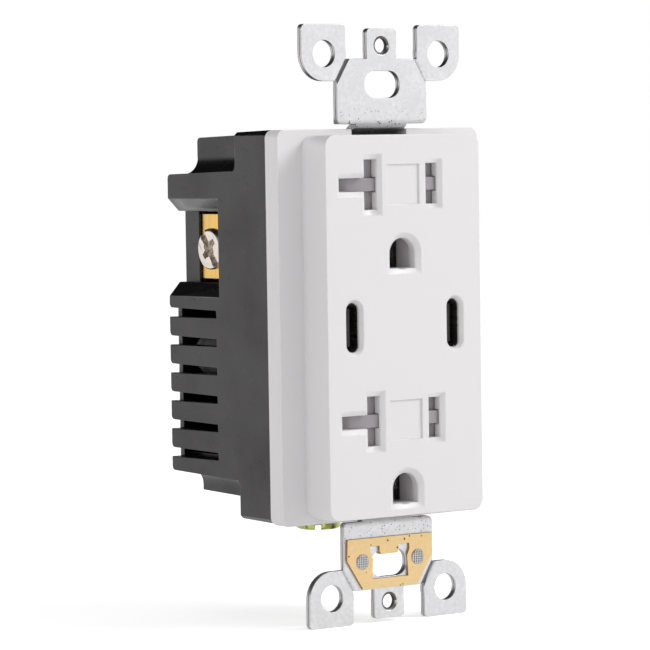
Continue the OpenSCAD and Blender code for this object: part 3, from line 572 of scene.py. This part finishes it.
# ---------------------------------------------------------------------------
# Storage capacitors: aluminium cans in a dark shrunk sleeve. The crimped end with
# its bung faces the rear, and two leads run back along each can to the board.
# ---------------------------------------------------------------------------
sleeve = finish("shrunk_sleeve", (0.27, 0.265, 0.27), 0.30, vary=0.10, patch=200.0, **{"Coat Weight": 0.4})
over(sleeve, scratched(sleeve, (900, 60, 900), (0, 0, 0), 0.62, 0.70), (0.22, 0.22, 0.22), 0.36)
can_metal = finish("pressed_can", (0.74, 0.75, 0.76), 0.32, 1.0, vary=0.05, patch=300.0)
over(can_metal, scratched(can_metal, (4000, 4000, 90), (0, 20, 0), 0.55, 0.62), (0.60, 0.61, 0.62), 0.4)
can_x = -14.6
sleeves, ends, tails = [], [], []
for z, length in ((-5.6, 15.5), (-14.2, 7.5)):
    back = parts_y + length
    can = [(0.25, 3.0), (0.0, 3.2), (0.0, 3.45), (0.2, 3.75), (0.55, 3.88),
           (length - 2.9, 3.88), (length - 2.6, 3.5), (length - 2.3, 3.42), (length - 2.0, 3.5),
           (length - 1.7, 3.88), (length - 0.5, 3.88), (length - 0.12, 3.7), (length, 3.3),
           (length - 0.1, 3.0), (length - 0.5, 2.9)]
    sleeves.append(turned(can, (can_x, parts_y, z), sides=64))
    sleeves.append(turned([(-0.45, 2.92), (-0.2, 2.92), (-0.1, 2.7)], (can_x, back, z), sides=48))
    ends.append(turned([(0.16, 2.9), (0.3, 3.02), (0.4, 3.02)], (can_x, parts_y, z), sides=48))
    ends += [block((can_x - w, can_x + w), (parts_y + 0.06, parts_y + 0.2), (z - h, z + h), 0.05)
             for w, h in ((2.4, 0.14), (0.14, 2.4))]
    for tail_z in (z - 1.2, z + 1.2):
        path = ((-13.6, back - 0.3), (-13.4, back + 0.3), (-10.6, back + 0.4), (-10.3, back),
                (-10.3, parts_y - 0.9))
        tails.append(wire([(x, y, tail_z) for x, y in path], 0.25))
put("capacitor_sleeves", joined(*sleeves), "storage_capacitors", "capacitor_sleeve", sleeve,
    "storage_capacitors")
put("capacitor_ends", joined(*ends), "storage_capacitors", "aluminium", can_metal)
put("capacitor_leads", joined(*tails), "storage_capacitors", "port_steel", tin)

# ---------------------------------------------------------------------------
# Other parts of the mains side: a boxed film capacitor, a lacquered surge disc,
# a fuse, a wound choke, a switching transistor on its heat sink and a bridge
# rectifier, all with tinned leads, and an isolator on the front face.
# ---------------------------------------------------------------------------
def built(node, slot, material, *shells):
    """Puts one mesh of closed shells in the place of a CAD node."""
    return put(node + "_part", joined(*shells), node, slot, material, node)


def lead(x, z, top):
    """A tinned lead that rises from the board to a part's underside."""
    return wire([(x, parts_y - 0.9, z), (x, parts_y + 0.5, z), (x, parts_y + top, z)], 0.28)


yellow_case = finish("film_capacitor_case", (0.80, 0.56, 0.06), 0.32, vary=0.04, grain=0.004)
over(yellow_case, amount(yellow_case, specks, Scale=700.0, Size=0.12, Share=0.15), (0.45, 0.30, 0.05), 0.5)
case = [block((10.5, 17.5), (parts_y + 0.5, parts_y + 8.6), (-12, -2), 0.35, 3)]
case += [block((x, x + 1), (parts_y, parts_y + 0.8), (z, z + 1), 0.1)
         for x in (10.7, 16.3) for z in (-11.8, -3.2)]
put("film_capacitor", joined(*case), "line_capacitor", "yellow_case", yellow_case, "line_capacitor")

lacquer = finish("dipped_lacquer", (0.035, 0.11, 0.40), 0.18, vary=0.10, patch=300.0, **{"Coat Weight": 0.5})
over(lacquer, amount(lacquer, specks, Scale=900.0, Size=0.3, Share=0.3), (0.05, 0.16, 0.50), 0.2, depth=-0.02)
disc = [(0.0, 0.6), (0.12, 2.4), (0.45, 3.7), (1.0, 4.25), (1.6, 4.4), (2.2, 4.25), (2.75, 3.7),
        (3.08, 2.4), (3.2, 0.6)]
drip_x, drip_rows = 11.4, (-19.9, -15.3)
drips = [turned([(-0.1, 0.3), (0.9, 0.42), (2.2, 0.75), (2.6, 0.5)], (drip_x, parts_y + 0.2, z), sides=16)
         for z in drip_rows]
built("surge_disc", "blue_lacquer", lacquer, turned(disc, (9.8, parts_y + 4.6, -17.6), "X", 56), *drips)

epoxy = finish("green_epoxy_coat", (0.13, 0.40, 0.20), 0.25, vary=0.08, patch=400.0)
over(epoxy, amount(epoxy, specks, Scale=1200.0, Size=0.25, Share=0.3), (0.20, 0.50, 0.28), 0.3, depth=-0.02)
body = [(0.0, 0.5), (0.1, 1.1), (0.5, 1.6), (1.2, 1.7), (2.4, 1.6), (3.2, 1.45), (7.3, 1.45), (8.1, 1.6),
        (9.3, 1.7), (10.0, 1.6), (10.4, 1.1), (10.5, 0.5)]
fuse_x, fuse_z = 17, -20.5
built("line_fuse", "fuse_sleeve", epoxy, turned(body, (fuse_x, parts_y, fuse_z), sides=32))

# a wire wound round a straight axis: springs, windings and screw threads
winding = bpy.data.node_groups.new("wound_wire", "GeometryNodeTree")
for key, kind in (("Turns", "Float"), ("Radius", "Float"), ("Length", "Float"), ("Wire", "Float"),
                  ("Sides", "Int"), ("Steps", "Int"), ("Turn", "Vector"), ("Place", "Vector"),
                  ("Material", "Material")):
    winding.interface.new_socket(key, in_out="INPUT", socket_type="NodeSocket" + kind)
winding.interface.new_socket("Geometry", in_out="OUTPUT", socket_type="NodeSocketGeometry")
given = add(winding, "NodeGroupInput").outputs
spiral = add(winding, "GeometryNodeCurveSpiral", {
    "Resolution": given["Steps"], "Rotations": given["Turns"], "Start Radius": given["Radius"],
    "End Radius": given["Radius"], "Height": given["Length"]}).outputs[0]
section = add(winding, "GeometryNodeCurvePrimitiveCircle", {
    "Resolution": given["Sides"], "Radius": given["Wire"]}).outputs[0]
tube = add(winding, "GeometryNodeCurveToMesh", {
    "Curve": spiral, "Profile Curve": section, "Fill Caps": True}).outputs[0]
moved = add(winding, "GeometryNodeTransform", {
    "Geometry": tube, "Translation": given["Place"], "Rotation": given["Turn"]}).outputs[0]
real = add(winding, "GeometryNodeRealizeInstances", {0: moved}).outputs[0]
tube = add(winding, "GeometryNodeSetMaterial", {"Geometry": real, "Material": given["Material"]}).outputs[0]
add(winding, "NodeGroupOutput", {"Geometry": tube})
TOWARDS = {"X": (0, 90, 0), "-X": (0, -90, 0), "Y": (-90, 0, 0), "Z": (0, 0, 0)}


def wound(material, start, towards, length, radius, thickness, turns, sides=8, steps=24):
    """A wire wound from start towards an axis direction; lengths in mm."""
    return made_by(winding, Turns=turns, Radius=radius * mm, Length=length * mm, Wire=thickness * mm,
                   Sides=sides, Steps=steps, Material=material,
                   Turn=[radians(a) for a in TOWARDS[towards]], Place=[c * mm for c in start])


copper = finish("enamelled_copper", (0.66, 0.24, 0.09), 0.26, 1.0, vary=0.08, patch=600.0)
over(copper, scratched(copper, (300, 5000, 300), (0, 0, 0), 0.6, 0.7), (0.42, 0.13, 0.05), 0.35)
drum = [(0.0, 2.7), (0.15, 3.0), (1.3, 3.0), (1.5, 2.7), (1.55, 2.0), (6.45, 2.0), (6.5, 2.7), (6.7, 3.0),
        (7.85, 3.0), (8.0, 2.7)]
choke_z = -0.9
built("line_choke", "ferrite", ferrite, turned(drum, (0, parts_y, choke_z)))
put("line_choke_winding", evened(wound(copper, (0, parts_y + 1.75, choke_z), "Y", 4.5, 2.35, 0.24, 9.5)),
    "line_choke", "clip_brass", copper)

rolled = finish("rolled_aluminium", (0.74, 0.75, 0.76), 0.34, 1.0, vary=0.05, patch=200.0)
over(rolled, scratched(rolled, (60, 2600, 2600), (0, 0, 0), 0.5, 0.62), (0.60, 0.61, 0.62), 0.42, depth=0.003)
fins = [block((x - 0.35, x + 0.35), (parts_y + 1, parts_y + 12), (-23.2, -22.4), 0.1)
        for x in range(-7, 8, 2)]
built("heat_sink", "aluminium", rolled, block((-8, 8), (parts_y, parts_y + 12), (-22.6, -22.0), 0.12), *fins)
built("power_transistor", "black_plastic", moulded_black,
      block((-3, 3), (parts_y + 1, parts_y + 7.9), (-21.6, -20.2), 0.2),
      turned([(-22.0, 0.9), (-21.5, 0.9)], (0, parts_y + 6.2, 0), "Z", 20))
rounded("bridge_rectifier", 0.35, "black_plastic", moulded_black, segments=3)
leads = [lead(14, z, 1.0) for z in (-11.2, -2.8)]  # film capacitor
leads += [lead(drip_x, z, 1.5) for z in drip_rows]  # surge disc
leads.append(lead(fuse_x, fuse_z, 0.9))
leads += [lead(x, -20.9, 1.6) for x in (-1.8, 0, 1.8)]  # transistor
leads += [lead(x, -20.4, 0.8) for x in (-15.8, -14.4, -13.0, -11.6)]  # bridge rectifier
leads += [lead(x, choke_z, 0.8) for x in (-1.6, 1.6)]
put("mains_side_leads", joined(*leads), "power_board", "port_steel", tin)

built("isolator_chip", "black_plastic", moulded_black,
      block((-1.9, 1.9), (board_y - 2.3, board_y - 0.2), (-16, -11), 0.12),
      turned([(-2.35, 0.32), (-2.25, 0.32)], (-1.3, board_y, -11.6), "Y", 16))
legs = []
for side in (-1, 1):
    path = [(side * x, y, 0) for x, y in ((1.8, -1.2), (2.15, -1.2), (2.2, -0.2), (2.4, -0.14))]
    legs.append(repeated(wire(path, 0.13), tin, (0, board_y, -15.4), count=4, row_step=(0, 0, 1.27)))
put("isolator_chip_legs", joined(*legs), "isolator_chip", "port_steel", tin)


# ---------------------------------------------------------------------------
# Terminals: each side has a stamped brass bus whose leaves grip the blades, a
# brass pressure plate with a sheared collar, and a screw that pulls it in. The
# neutral screw is nickel plated and its drive is chewed by the driver; the torn
# metal is painted near white, partly painted light against the recess's shade.
# ---------------------------------------------------------------------------
brass = finish("stamped_brass", (0.73, 0.465, 0.140), 0.28, 1.0, vary=0.06, patch=120.0)
over(brass, scratched(brass, (2600, 2600, 90), (0, 0, 12), 0.50, 0.66), (0.66, 0.43, 0.15), 0.36, depth=0.001)
over(brass, amount(brass, specks, Scale=900.0, Size=0.12, Share=0.10), (0.45, 0.28, 0.10), 0.5)
over(brass, marked(brass, "edge", 0.1), (0.86, 0.66, 0.34), 0.22)
for name, radius in (("neutral_bus", 0.06), ("hot_bus", 0.06), ("neutral_clamp", 0.12), ("hot_clamp", 0.12)):
    rounded(name, radius, "brass", brass)


def cut(mesh, *tools):
    """A mesh with closed shapes cut out of it."""
    thing = bpy.data.objects.new("cut", mesh)
    cutters = []
    for tool in tools:
        cutter = bpy.data.objects.new("cutter", joined(tool))
        scene.collection.objects.link(cutter)
        modifier = thing.modifiers.new("cut", "BOOLEAN")
        modifier.operation, modifier.solver, modifier.object = "DIFFERENCE", "EXACT", cutter
        cutters.append(cutter)
    mesh = settled(thing)
    for cutter in cutters:
        bpy.data.objects.remove(cutter)
    return evened(mesh)


def tilted(shape, along, angle, centre):
    """A shape turned about an axis through a point in mm."""
    middle = Vector(centre) * mm
    bmesh.ops.rotate(shape, verts=shape.verts, cent=middle, matrix=Matrix.Rotation(radians(angle), 3, along))
    return shape


def driven(mesh, along, centre, reach):
    """The mesh with the mark driven on the faces of the drive cut into a screw's head."""
    axis = "XYZ".index(along)
    mark = mesh.attributes.new("driven", "FLOAT", "FACE")
    for face, value in zip(mesh.polygons, mark.data):
        offset = face.center / mm - Vector(centre)
        depth = abs(offset[axis])
        offset[axis] = 0
        value.value = 0.1 < depth < 1.35 and offset.length < reach
    return mesh


shank_radius, thread_wire = 1.73, 0.30


def terminal_screw(side, angle, material):
    """The head with its slot and cross, and the thread on its shank, of a screw in the side wall."""
    head_x, thread_x, y, z = side * 19.6, side * 17.4, 24.4, 13.3
    centre = (head_x, y, z)
    profile = [(0.03, 2.4), (0.0, 3.0), (0.06, 3.35), (0.22, 3.57), (0.5, 3.65), (1.15, 3.65), (1.4, 3.52),
               (1.5, 3.2), (1.5, 1.8), (9.6, 1.72), (10.0, 1.3)]
    head = joined(turned([(-side * step, radius) for step, radius in profile], centre, "X", 72))
    drive = []
    for reach, w, h, edge, turn in ((0.8, 0.72, 4.5, 0.1, 0), (1.1, 0.6, 2.15, 0.15, 84),
                                    (1.1, 1.25, 1.2, 0.15, 12)):
        arm = block((head_x - reach, head_x + reach), (y - w, y + w), (z - h, z + h), edge)
        drive.append(tilted(arm, "X", angle + turn, centre))
    thread = wound(material, (thread_x, y, z), "-X" if side > 0 else "X", 7.6, shank_radius, thread_wire,
                   9.0, sides=3)
    return driven(cut(head, *drive), "X", centre, 3.3), thread


nickel = finish("nickel_plate", (0.65, 0.595, 0.54), 0.22, 1.0, vary=0.06, patch=300.0)
brushed = scratched(nickel, (2200, 900, 160), (40, 0, 0), 0.60, 0.70)
over(nickel, brushed, (0.50, 0.44, 0.40), 0.36, depth=0.004)
over(nickel, amount(nickel, specks, Scale=900.0, Size=0.25, Share=0.12), (0.24, 0.17, 0.12), 0.6, depth=0.01)
over(nickel, marked(nickel, "driven"), (0.34, 0.28, 0.23), 0.50)
# torn metal in the chewed drive, painted near white: real wear, and painted light that lifts the shaded
# recess
torn_and_painted_light = amount(nickel, patches, Scale=1800.0)
torn_and_painted_light = work_out(nickel.node_tree, "MULTIPLY", torn_and_painted_light, marked(nickel, "driven"))
over(nickel, torn_and_painted_light, (0.92, 0.83, 0.75), 0.42, depth=0.12)
brass_plate = finish("brass_plate", (0.71, 0.465, 0.170), 0.26, 1.0, vary=0.08, patch=300.0)
tarnish = amount(brass_plate, specks, Scale=900.0, Size=0.3, Share=0.15)
over(brass_plate, tarnish, (0.30, 0.18, 0.06), 0.55, depth=0.01)
built("neutral_screw", "nickel_screw", nickel, *terminal_screw(-1, -37, nickel))
built("hot_screw", "brass_screw", brass_plate, *terminal_screw(1, 25, brass_plate))

# ---------------------------------------------------------------------------
# Contact carrier: a natural nylon moulding, lightly flecked, that holds the blade
# contacts and the port board.
# ---------------------------------------------------------------------------
nylon = finish("natural_nylon", (0.72, 0.70, 0.65), 0.46, vary=0.03, patch=80.0, grain=0.004)
over(nylon, amount(nylon, specks, Scale=240.0, Size=0.12, Share=0.2), (0.50, 0.46, 0.38), 0.5)
rounded("contact_carrier", 0.15, "natural_nylon", nylon)

# ---------------------------------------------------------------------------
# Mounting strap: one stamping of zinc plated steel. Its sheared edges show dark
# bands, its cover plate holes are tapped, and two knurled bosses hold the clip.
# ---------------------------------------------------------------------------
zinc = finish("zinc_plated_steel", (0.645, 0.645, 0.655), 0.36, 1.0, vary=0.06, patch=240.0, grain=0.003)
over(zinc, amount(zinc, patches, Scale=1500.0), (0.575, 0.575, 0.585), 0.44, depth=0.002)
over(zinc, scratched(zinc, (900, 7000, 7000), (0, 8, 0), 0.58, 0.72), (0.57, 0.57, 0.575), 0.43, depth=0.001)
over(zinc, amount(zinc, specks, Scale=700.0, Size=0.22, Share=0.08), (0.17, 0.155, 0.15), 0.7, depth=0.01)
tree = zinc.node_tree
spot = add(tree, "ShaderNodeSeparateXYZ", {0: add(tree, "ShaderNodeTexCoord").outputs["Object"]}).outputs
bend_z = 35.2 * mm
height = work_out(tree, "ABSOLUTE", spot["Z"])
from_bend = work_out(tree, "ABSOLUTE", work_out(tree, "SUBTRACT", height, bend_z))
pitted = amount(zinc, specks, Scale=2100.0, Size=0.52, Share=0.30)
pitted = work_out(tree, "MULTIPLY", pitted, between(tree, from_bend, 1.6 * mm, 3.0 * mm, 1.0, 0.0))
over(zinc, pitted, (0.15, 0.14, 0.135), 0.7, depth=0.01)
over(zinc, marked(zinc, "sheared"), (0.52, 0.51, 0.51), 0.42)
wave = work_out(tree, "MULTIPLY", amount(zinc, patches, Scale=500.0), 0.12 * mm)
half_pitch = 0.3 * mm
across = work_out(tree, "PINGPONG", work_out(tree, "ADD", spot["Y"], wave), half_pitch)
bands = between(tree, across, 0.05 * mm, 0.12 * mm, 1.0, 0.0)
bands = work_out(tree, "MULTIPLY", bands, marked(zinc, "sheared"))
over(zinc, bands, (0.14, 0.13, 0.13), 0.6, depth=0.02)
rounded("mounting_strap", 0.08, "zinc_steel", zinc)
# nearly black metal for the tapped threads and the rings at the bosses' foot: painted shade in the holes and
# round the bosses
painted_shade_metal = finish("oiled_thread", (0.11, 0.10, 0.095), 0.42, 1.0, vary=0.2, patch=900.0)
plate_hole_z = 48.42
threads = [wound(painted_shade_metal, (0, -1.05, side * plate_hole_z), "Y", 0.95, 1.42, 0.2, 2.2, sides=3)
           for side in (-1, 1)]
put("tapped_threads", joined(*threads), "mounting_strap", "zinc_steel", painted_shade_metal)
boss_z, boss_radius, knurl_pitch = -41.05, 1.18, 0.4
knurls, shade_rings = [], []
for boss_x in (-6.0, 6.0):
    # a thin nearly black ring at the foot of the boss: painted shade
    shade_rings.append(turned([(-1.68, 1.1), (-1.67, 1.2), (-1.6, 1.2)], (boss_x, 0, boss_z), sides=40))
    for k in range(6):
        at = -1.0 + knurl_pitch * k
        half = (boss_radius ** 2 - at ** 2) ** 0.5
        x, z = boss_x + at, boss_z + at
        knurls.append(block((x - 0.09, x + 0.09), (-1.82, -1.62), (boss_z - half, boss_z + half), 0.06, 1))
        knurls.append(block((boss_x - half, boss_x + half), (-1.77, -1.62), (z - 0.07, z + 0.07), 0.05, 1))
put("knurled_bosses", joined(*knurls), "mounting_strap", "zinc_steel", zinc)
put("knurl_grooves", joined(*shade_rings), "mounting_strap", "zinc_steel", painted_shade_metal)

# ---------------------------------------------------------------------------
# Grounding clip: thin spring brass staked on the lower strap end, rolled across
# and spotted by handling. Its bent tab bears on the lower mounting screw.
# ---------------------------------------------------------------------------
clip_brass = finish("spring_brass", (0.70, 0.52, 0.285), 0.36, 1.0, vary=0.04, patch=130.0)
rolling = scratched(clip_brass, (700, 14000, 14000), (0, 4, 0), 0.45, 0.70)
over(clip_brass, rolling, (0.66, 0.475, 0.235), 0.42, depth=0.001)
over(clip_brass, amount(clip_brass, patches, Scale=1600.0), (0.665, 0.48, 0.24), 0.42, depth=0.001)
spots = amount(clip_brass, specks, Scale=1900.0, Size=0.46, Share=0.13)
over(clip_brass, spots, (0.14, 0.07, 0.03), 0.7, depth=0.01)
over(clip_brass, marked(clip_brass, "sheared"), (0.42, 0.24, 0.10), 0.45)
rounded("grounding_clip", 0.05, "clip_brass", clip_brass)

# ---------------------------------------------------------------------------
# Ground parts: two bronze spring contacts riveted to the strap, and the green
# passivated ground screw that clamps wires under a square steel plate.
# ---------------------------------------------------------------------------
bronze = finish("spring_bronze", (0.64, 0.36, 0.17), 0.30, 1.0, vary=0.08, patch=200.0)
over(bronze, scratched(bronze, (1800, 60, 1800), (0, 0, 0), 0.55, 0.65), (0.50, 0.26, 0.11), 0.4, depth=0.002)
rounded("ground_contacts", 0.08, "bronze", bronze)
rivet = [(0.0, 0.62), (0.12, 0.92), (0.4, 1.05), (0.4, 0.7), (2.1, 0.7), (2.1, 1.05), (2.35, 0.95),
         (2.5, 0.6)]
rivets = [turned(rivet, (x, 1.0, z), sides=28) for x in (-4.2, 4.2) for z in (12.4, -28.3)]
built("ground_rivets", "zinc_steel", zinc, *rivets)
rounded("ground_clamp", 0.15, "zinc_steel", zinc)
green = finish("green_passivate", (0.24, 0.32, 0.09), 0.24, 1.0, vary=0.30, patch=420.0)
over(green, amount(green, patches, Scale=700.0), (0.50, 0.48, 0.13), 0.22)
over(green, scratched(green, (700, 700, 260), (0, 0, 30), 0.54, 0.64), (0.10, 0.09, 0.08), 0.5, depth=0.01)
over(green, marked(green, "driven"), (0.06, 0.07, 0.03), 0.5)
centre = x, y, z = -8.5, 8.0, -35.7
profile = [(0.03, 2.6), (0.0, 3.2), (0.08, 3.6), (0.3, 3.87), (0.7, 3.95), (1.6, 3.95), (1.95, 3.82),
           (2.1, 3.4), (2.1, 1.8), (9.7, 1.72), (10.1, 1.3)]
slot_angle = 54
drive = []
for w, h, depth, edge, turn in ((5, 0.55, 0.9, 0.06, 0), (2.3, 0.5, 1.25, 0.1, 90),
                                (1.2, 1.2, 1.25, 0.1, 10)):
    arm = block((x - w, x + w), (y - h, y + h), (z - 1, z + depth), edge)
    drive.append(tilted(arm, "Z", slot_angle + turn, centre))
ground_head = driven(cut(joined(turned(profile, centre, "Z", 72)), *drive), "Z", centre, 3.5)
thread = wound(green, (x, y, -33.2), "Z", 7.2, shank_radius, thread_wire, 8.5, sides=3)
built("ground_screw", "green_screw", green, ground_head, thread)


# ---------------------------------------------------------------------------
# Charging ports: a small board with two controllers and two moulded inductors,
# a drawn steel shell for each port and a black tongue with gilt contacts.
# ---------------------------------------------------------------------------
rounded("port_board", 0.08, "circuit_board", mask_green)
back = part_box("port_board")[1].y / mm
chips_x, cores_x = (-9, 9), (-9.2, 9.2)
chips = [block((x - 2.5, x + 2.5), (back + 0.05, back + 0.9), (0.8, 5.8), 0.08) for x in chips_x]
chips += [turned([(0.86, 0.35), (0.9, 0.3)], (x - 1.7, back, 5.0), "Y", 16) for x in chips_x]
built("port_controllers", "black_plastic", moulded_black, *chips)
pads = [repeated(block((-0.13, 0.13), (-0.02, 0.22), (-0.2, 0.2), 0.03), tin, (x, back, z),
                 columns=8, step=(0.6, 0, 0)) for x in (-11.1, 6.9) for z in (0.75, 5.85)]
put("controller_pads", joined(*pads), "port_board", "port_steel", tin)
cores = [block((x - 2.5, x + 2.5), (back + 0.1, back + 3.0), (-6.5, -1.5), 0.3, 3) for x in cores_x]
ends = [block((x + s * 2.35 - 0.25, x + s * 2.35 + 0.25), (back, back + 1.2), (-5.2, -2.8), 0.08)
        for x in cores_x for s in (-1, 1)]
built("port_inductors", "ferrite", ferrite, *cores)
put("inductor_ends", joined(*ends), "port_board", "port_steel", tin)
built("board_header", "black_plastic", moulded_black,
      block((-4.2, 4.2), (back, back + 2.5), (-5, -2.5), 0.15))
pin = block((-0.3, 0.3), (0.0, board_y - back - 1.0), (-0.3, 0.3), 0.08)
header_pins = repeated(pin, tin, (-3.5, back + 1.0, -3.75), columns=6, step=(1.4, 0, 0))
put("header_pins", header_pins, "board_header", "port_steel", tin)
film = finish("amber_film", (0.70, 0.50, 0.20), 0.16, vary=0.05, patch=300.0, grain=0.001)
over(film, scratched(film, (300, 60, 900), (0, 25, 0), 0.6, 0.68), (0.56, 0.38, 0.14), 0.3)
rounded("insulating_film", 0.05, "insulating_film", film)

shell_steel = finish("drawn_steel", (0.50, 0.50, 0.51), 0.28, 1.0, vary=0.06, patch=200.0)
drawing = scratched(shell_steel, (2400, 60, 2400), (0, 0, 0), 0.52, 0.62)
over(shell_steel, drawing, (0.36, 0.36, 0.37), 0.4, depth=0.003)
gilt = finish("gilt_contact", (0.86, 0.62, 0.22), 0.2, 1.0, vary=0.05, patch=900.0)
for name, port_x in (("left_port", -10.85), ("right_port", 10.85)):
    rounded(name + "_shell", 0.06, "port_steel", shell_steel)
    rounded(name + "_tongue", 0.07, "black_plastic", moulded_black)
    strips = []
    for x in (port_x - 0.35, port_x + 0.35):
        contact = block((-0.03, 0.03), (-0.1, 3.6), (-0.14, 0.14), 0.02, 1)
        strips.append(repeated(contact, gilt, (x, -4.7, -2.75), count=12, row_step=(0, 0, 0.5)))
    put(name + "_contacts", joined(*strips), name + "_tongue", "brass", gilt)

# ---------------------------------------------------------------------------
# Shutter tray and shutters: grey sliding covers close both blade slots until
# two blades enter together. Each is pushed back by a small coil spring.
# ---------------------------------------------------------------------------
cool_nylon = finish("cool_nylon", (0.68, 0.645, 0.655), 0.42, vary=0.03, patch=80.0, grain=0.004)
rounded("shutter_tray", 0.12, "natural_nylon", cool_nylon)
grey = finish("grey_moulding", (0.370, 0.345, 0.360), 0.36, vary=0.04, patch=90.0)
over(grey, marked(grey, "edge", 0.4), (0.42, 0.40, 0.41), 0.42)
over(grey, amount(grey, specks, Scale=500.0, Size=0.12, Share=0.12), (0.42, 0.40, 0.40), 0.6)
rounded("upper_shutter", 0.09, "grey_shutter", grey)
rounded("lower_shutter", 0.09, "grey_shutter", grey)
spring_wire = finish("drawn_wire", (0.52, 0.52, 0.54), 0.28, 1.0, vary=0.08, patch=900.0)
coil_radius, coil_wire, coil_turns = 0.79, 0.155, 21.0
inset = 0.16
for name in ("upper_shutter", "lower_shutter"):
    low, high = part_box(name + "_spring")
    start = (low.x / mm + inset, (low.y + high.y) / 2 / mm, (low.z + high.z) / 2 / mm)
    length = (high.x - low.x) / mm - 2 * inset
    coils = evened(wound(spring_wire, start, "X", length, coil_radius, coil_wire, coil_turns), 80)
    spring = put(name + "_coil", coils, name + "_spring", "spring_steel", spring_wire, name + "_spring")
    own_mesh(spring)

# ---------------------------------------------------------------------------
# Face cover: a satin white polycarbonate moulding with bevelled slots, closed
# last over everything else.
# ---------------------------------------------------------------------------
white = finish("white_moulding", (0.82, 0.805, 0.815), 0.36, vary=0.006, patch=40.0, grain=0.002)
over(white, amount(white, specks, Scale=260.0, Size=0.035, Share=0.10), (0.52, 0.45, 0.42), 0.5)
over(white, marked(white, "edge", 0.5), (0.80, 0.74, 0.73), 0.40)
rounded("face_cover", 0.16, "white_cover", white, segments=3)

# ---------------------------------------------------------------------------
# Housing screws: four thread forming screws with a cross drive, driven from
# behind through the cut corners of the housing.
# ---------------------------------------------------------------------------
profile = [(0.0, 1.2), (-0.1, 1.55), (-0.4, 1.82), (-0.8, 1.9), (-1.4, 1.9), (-1.5, 1.75), (-1.5, 0.75),
           (-12.9, 0.7), (-13.4, 0.2)]
head_y, tip_y = 14.6, 2.0
screws = []
for x in (-18.4, 18.4):
    for z in (-30.0, 30.0):
        cross = [block((x - w, x + w), (head_y - 0.7, head_y + 0.5), (z - h, z + h), 0.06)
                 for w, h in ((1.1, 0.24), (0.24, 1.1))]
        screws.append(cut(joined(turned(profile, (x, head_y, z), sides=40)), *cross))
        screws.append(wound(zinc, (x, tip_y, z), "Y", 10.6, 0.74, 0.16, 11.0, sides=3, steps=20))
built("housing_screws", "zinc_steel", zinc, *screws)
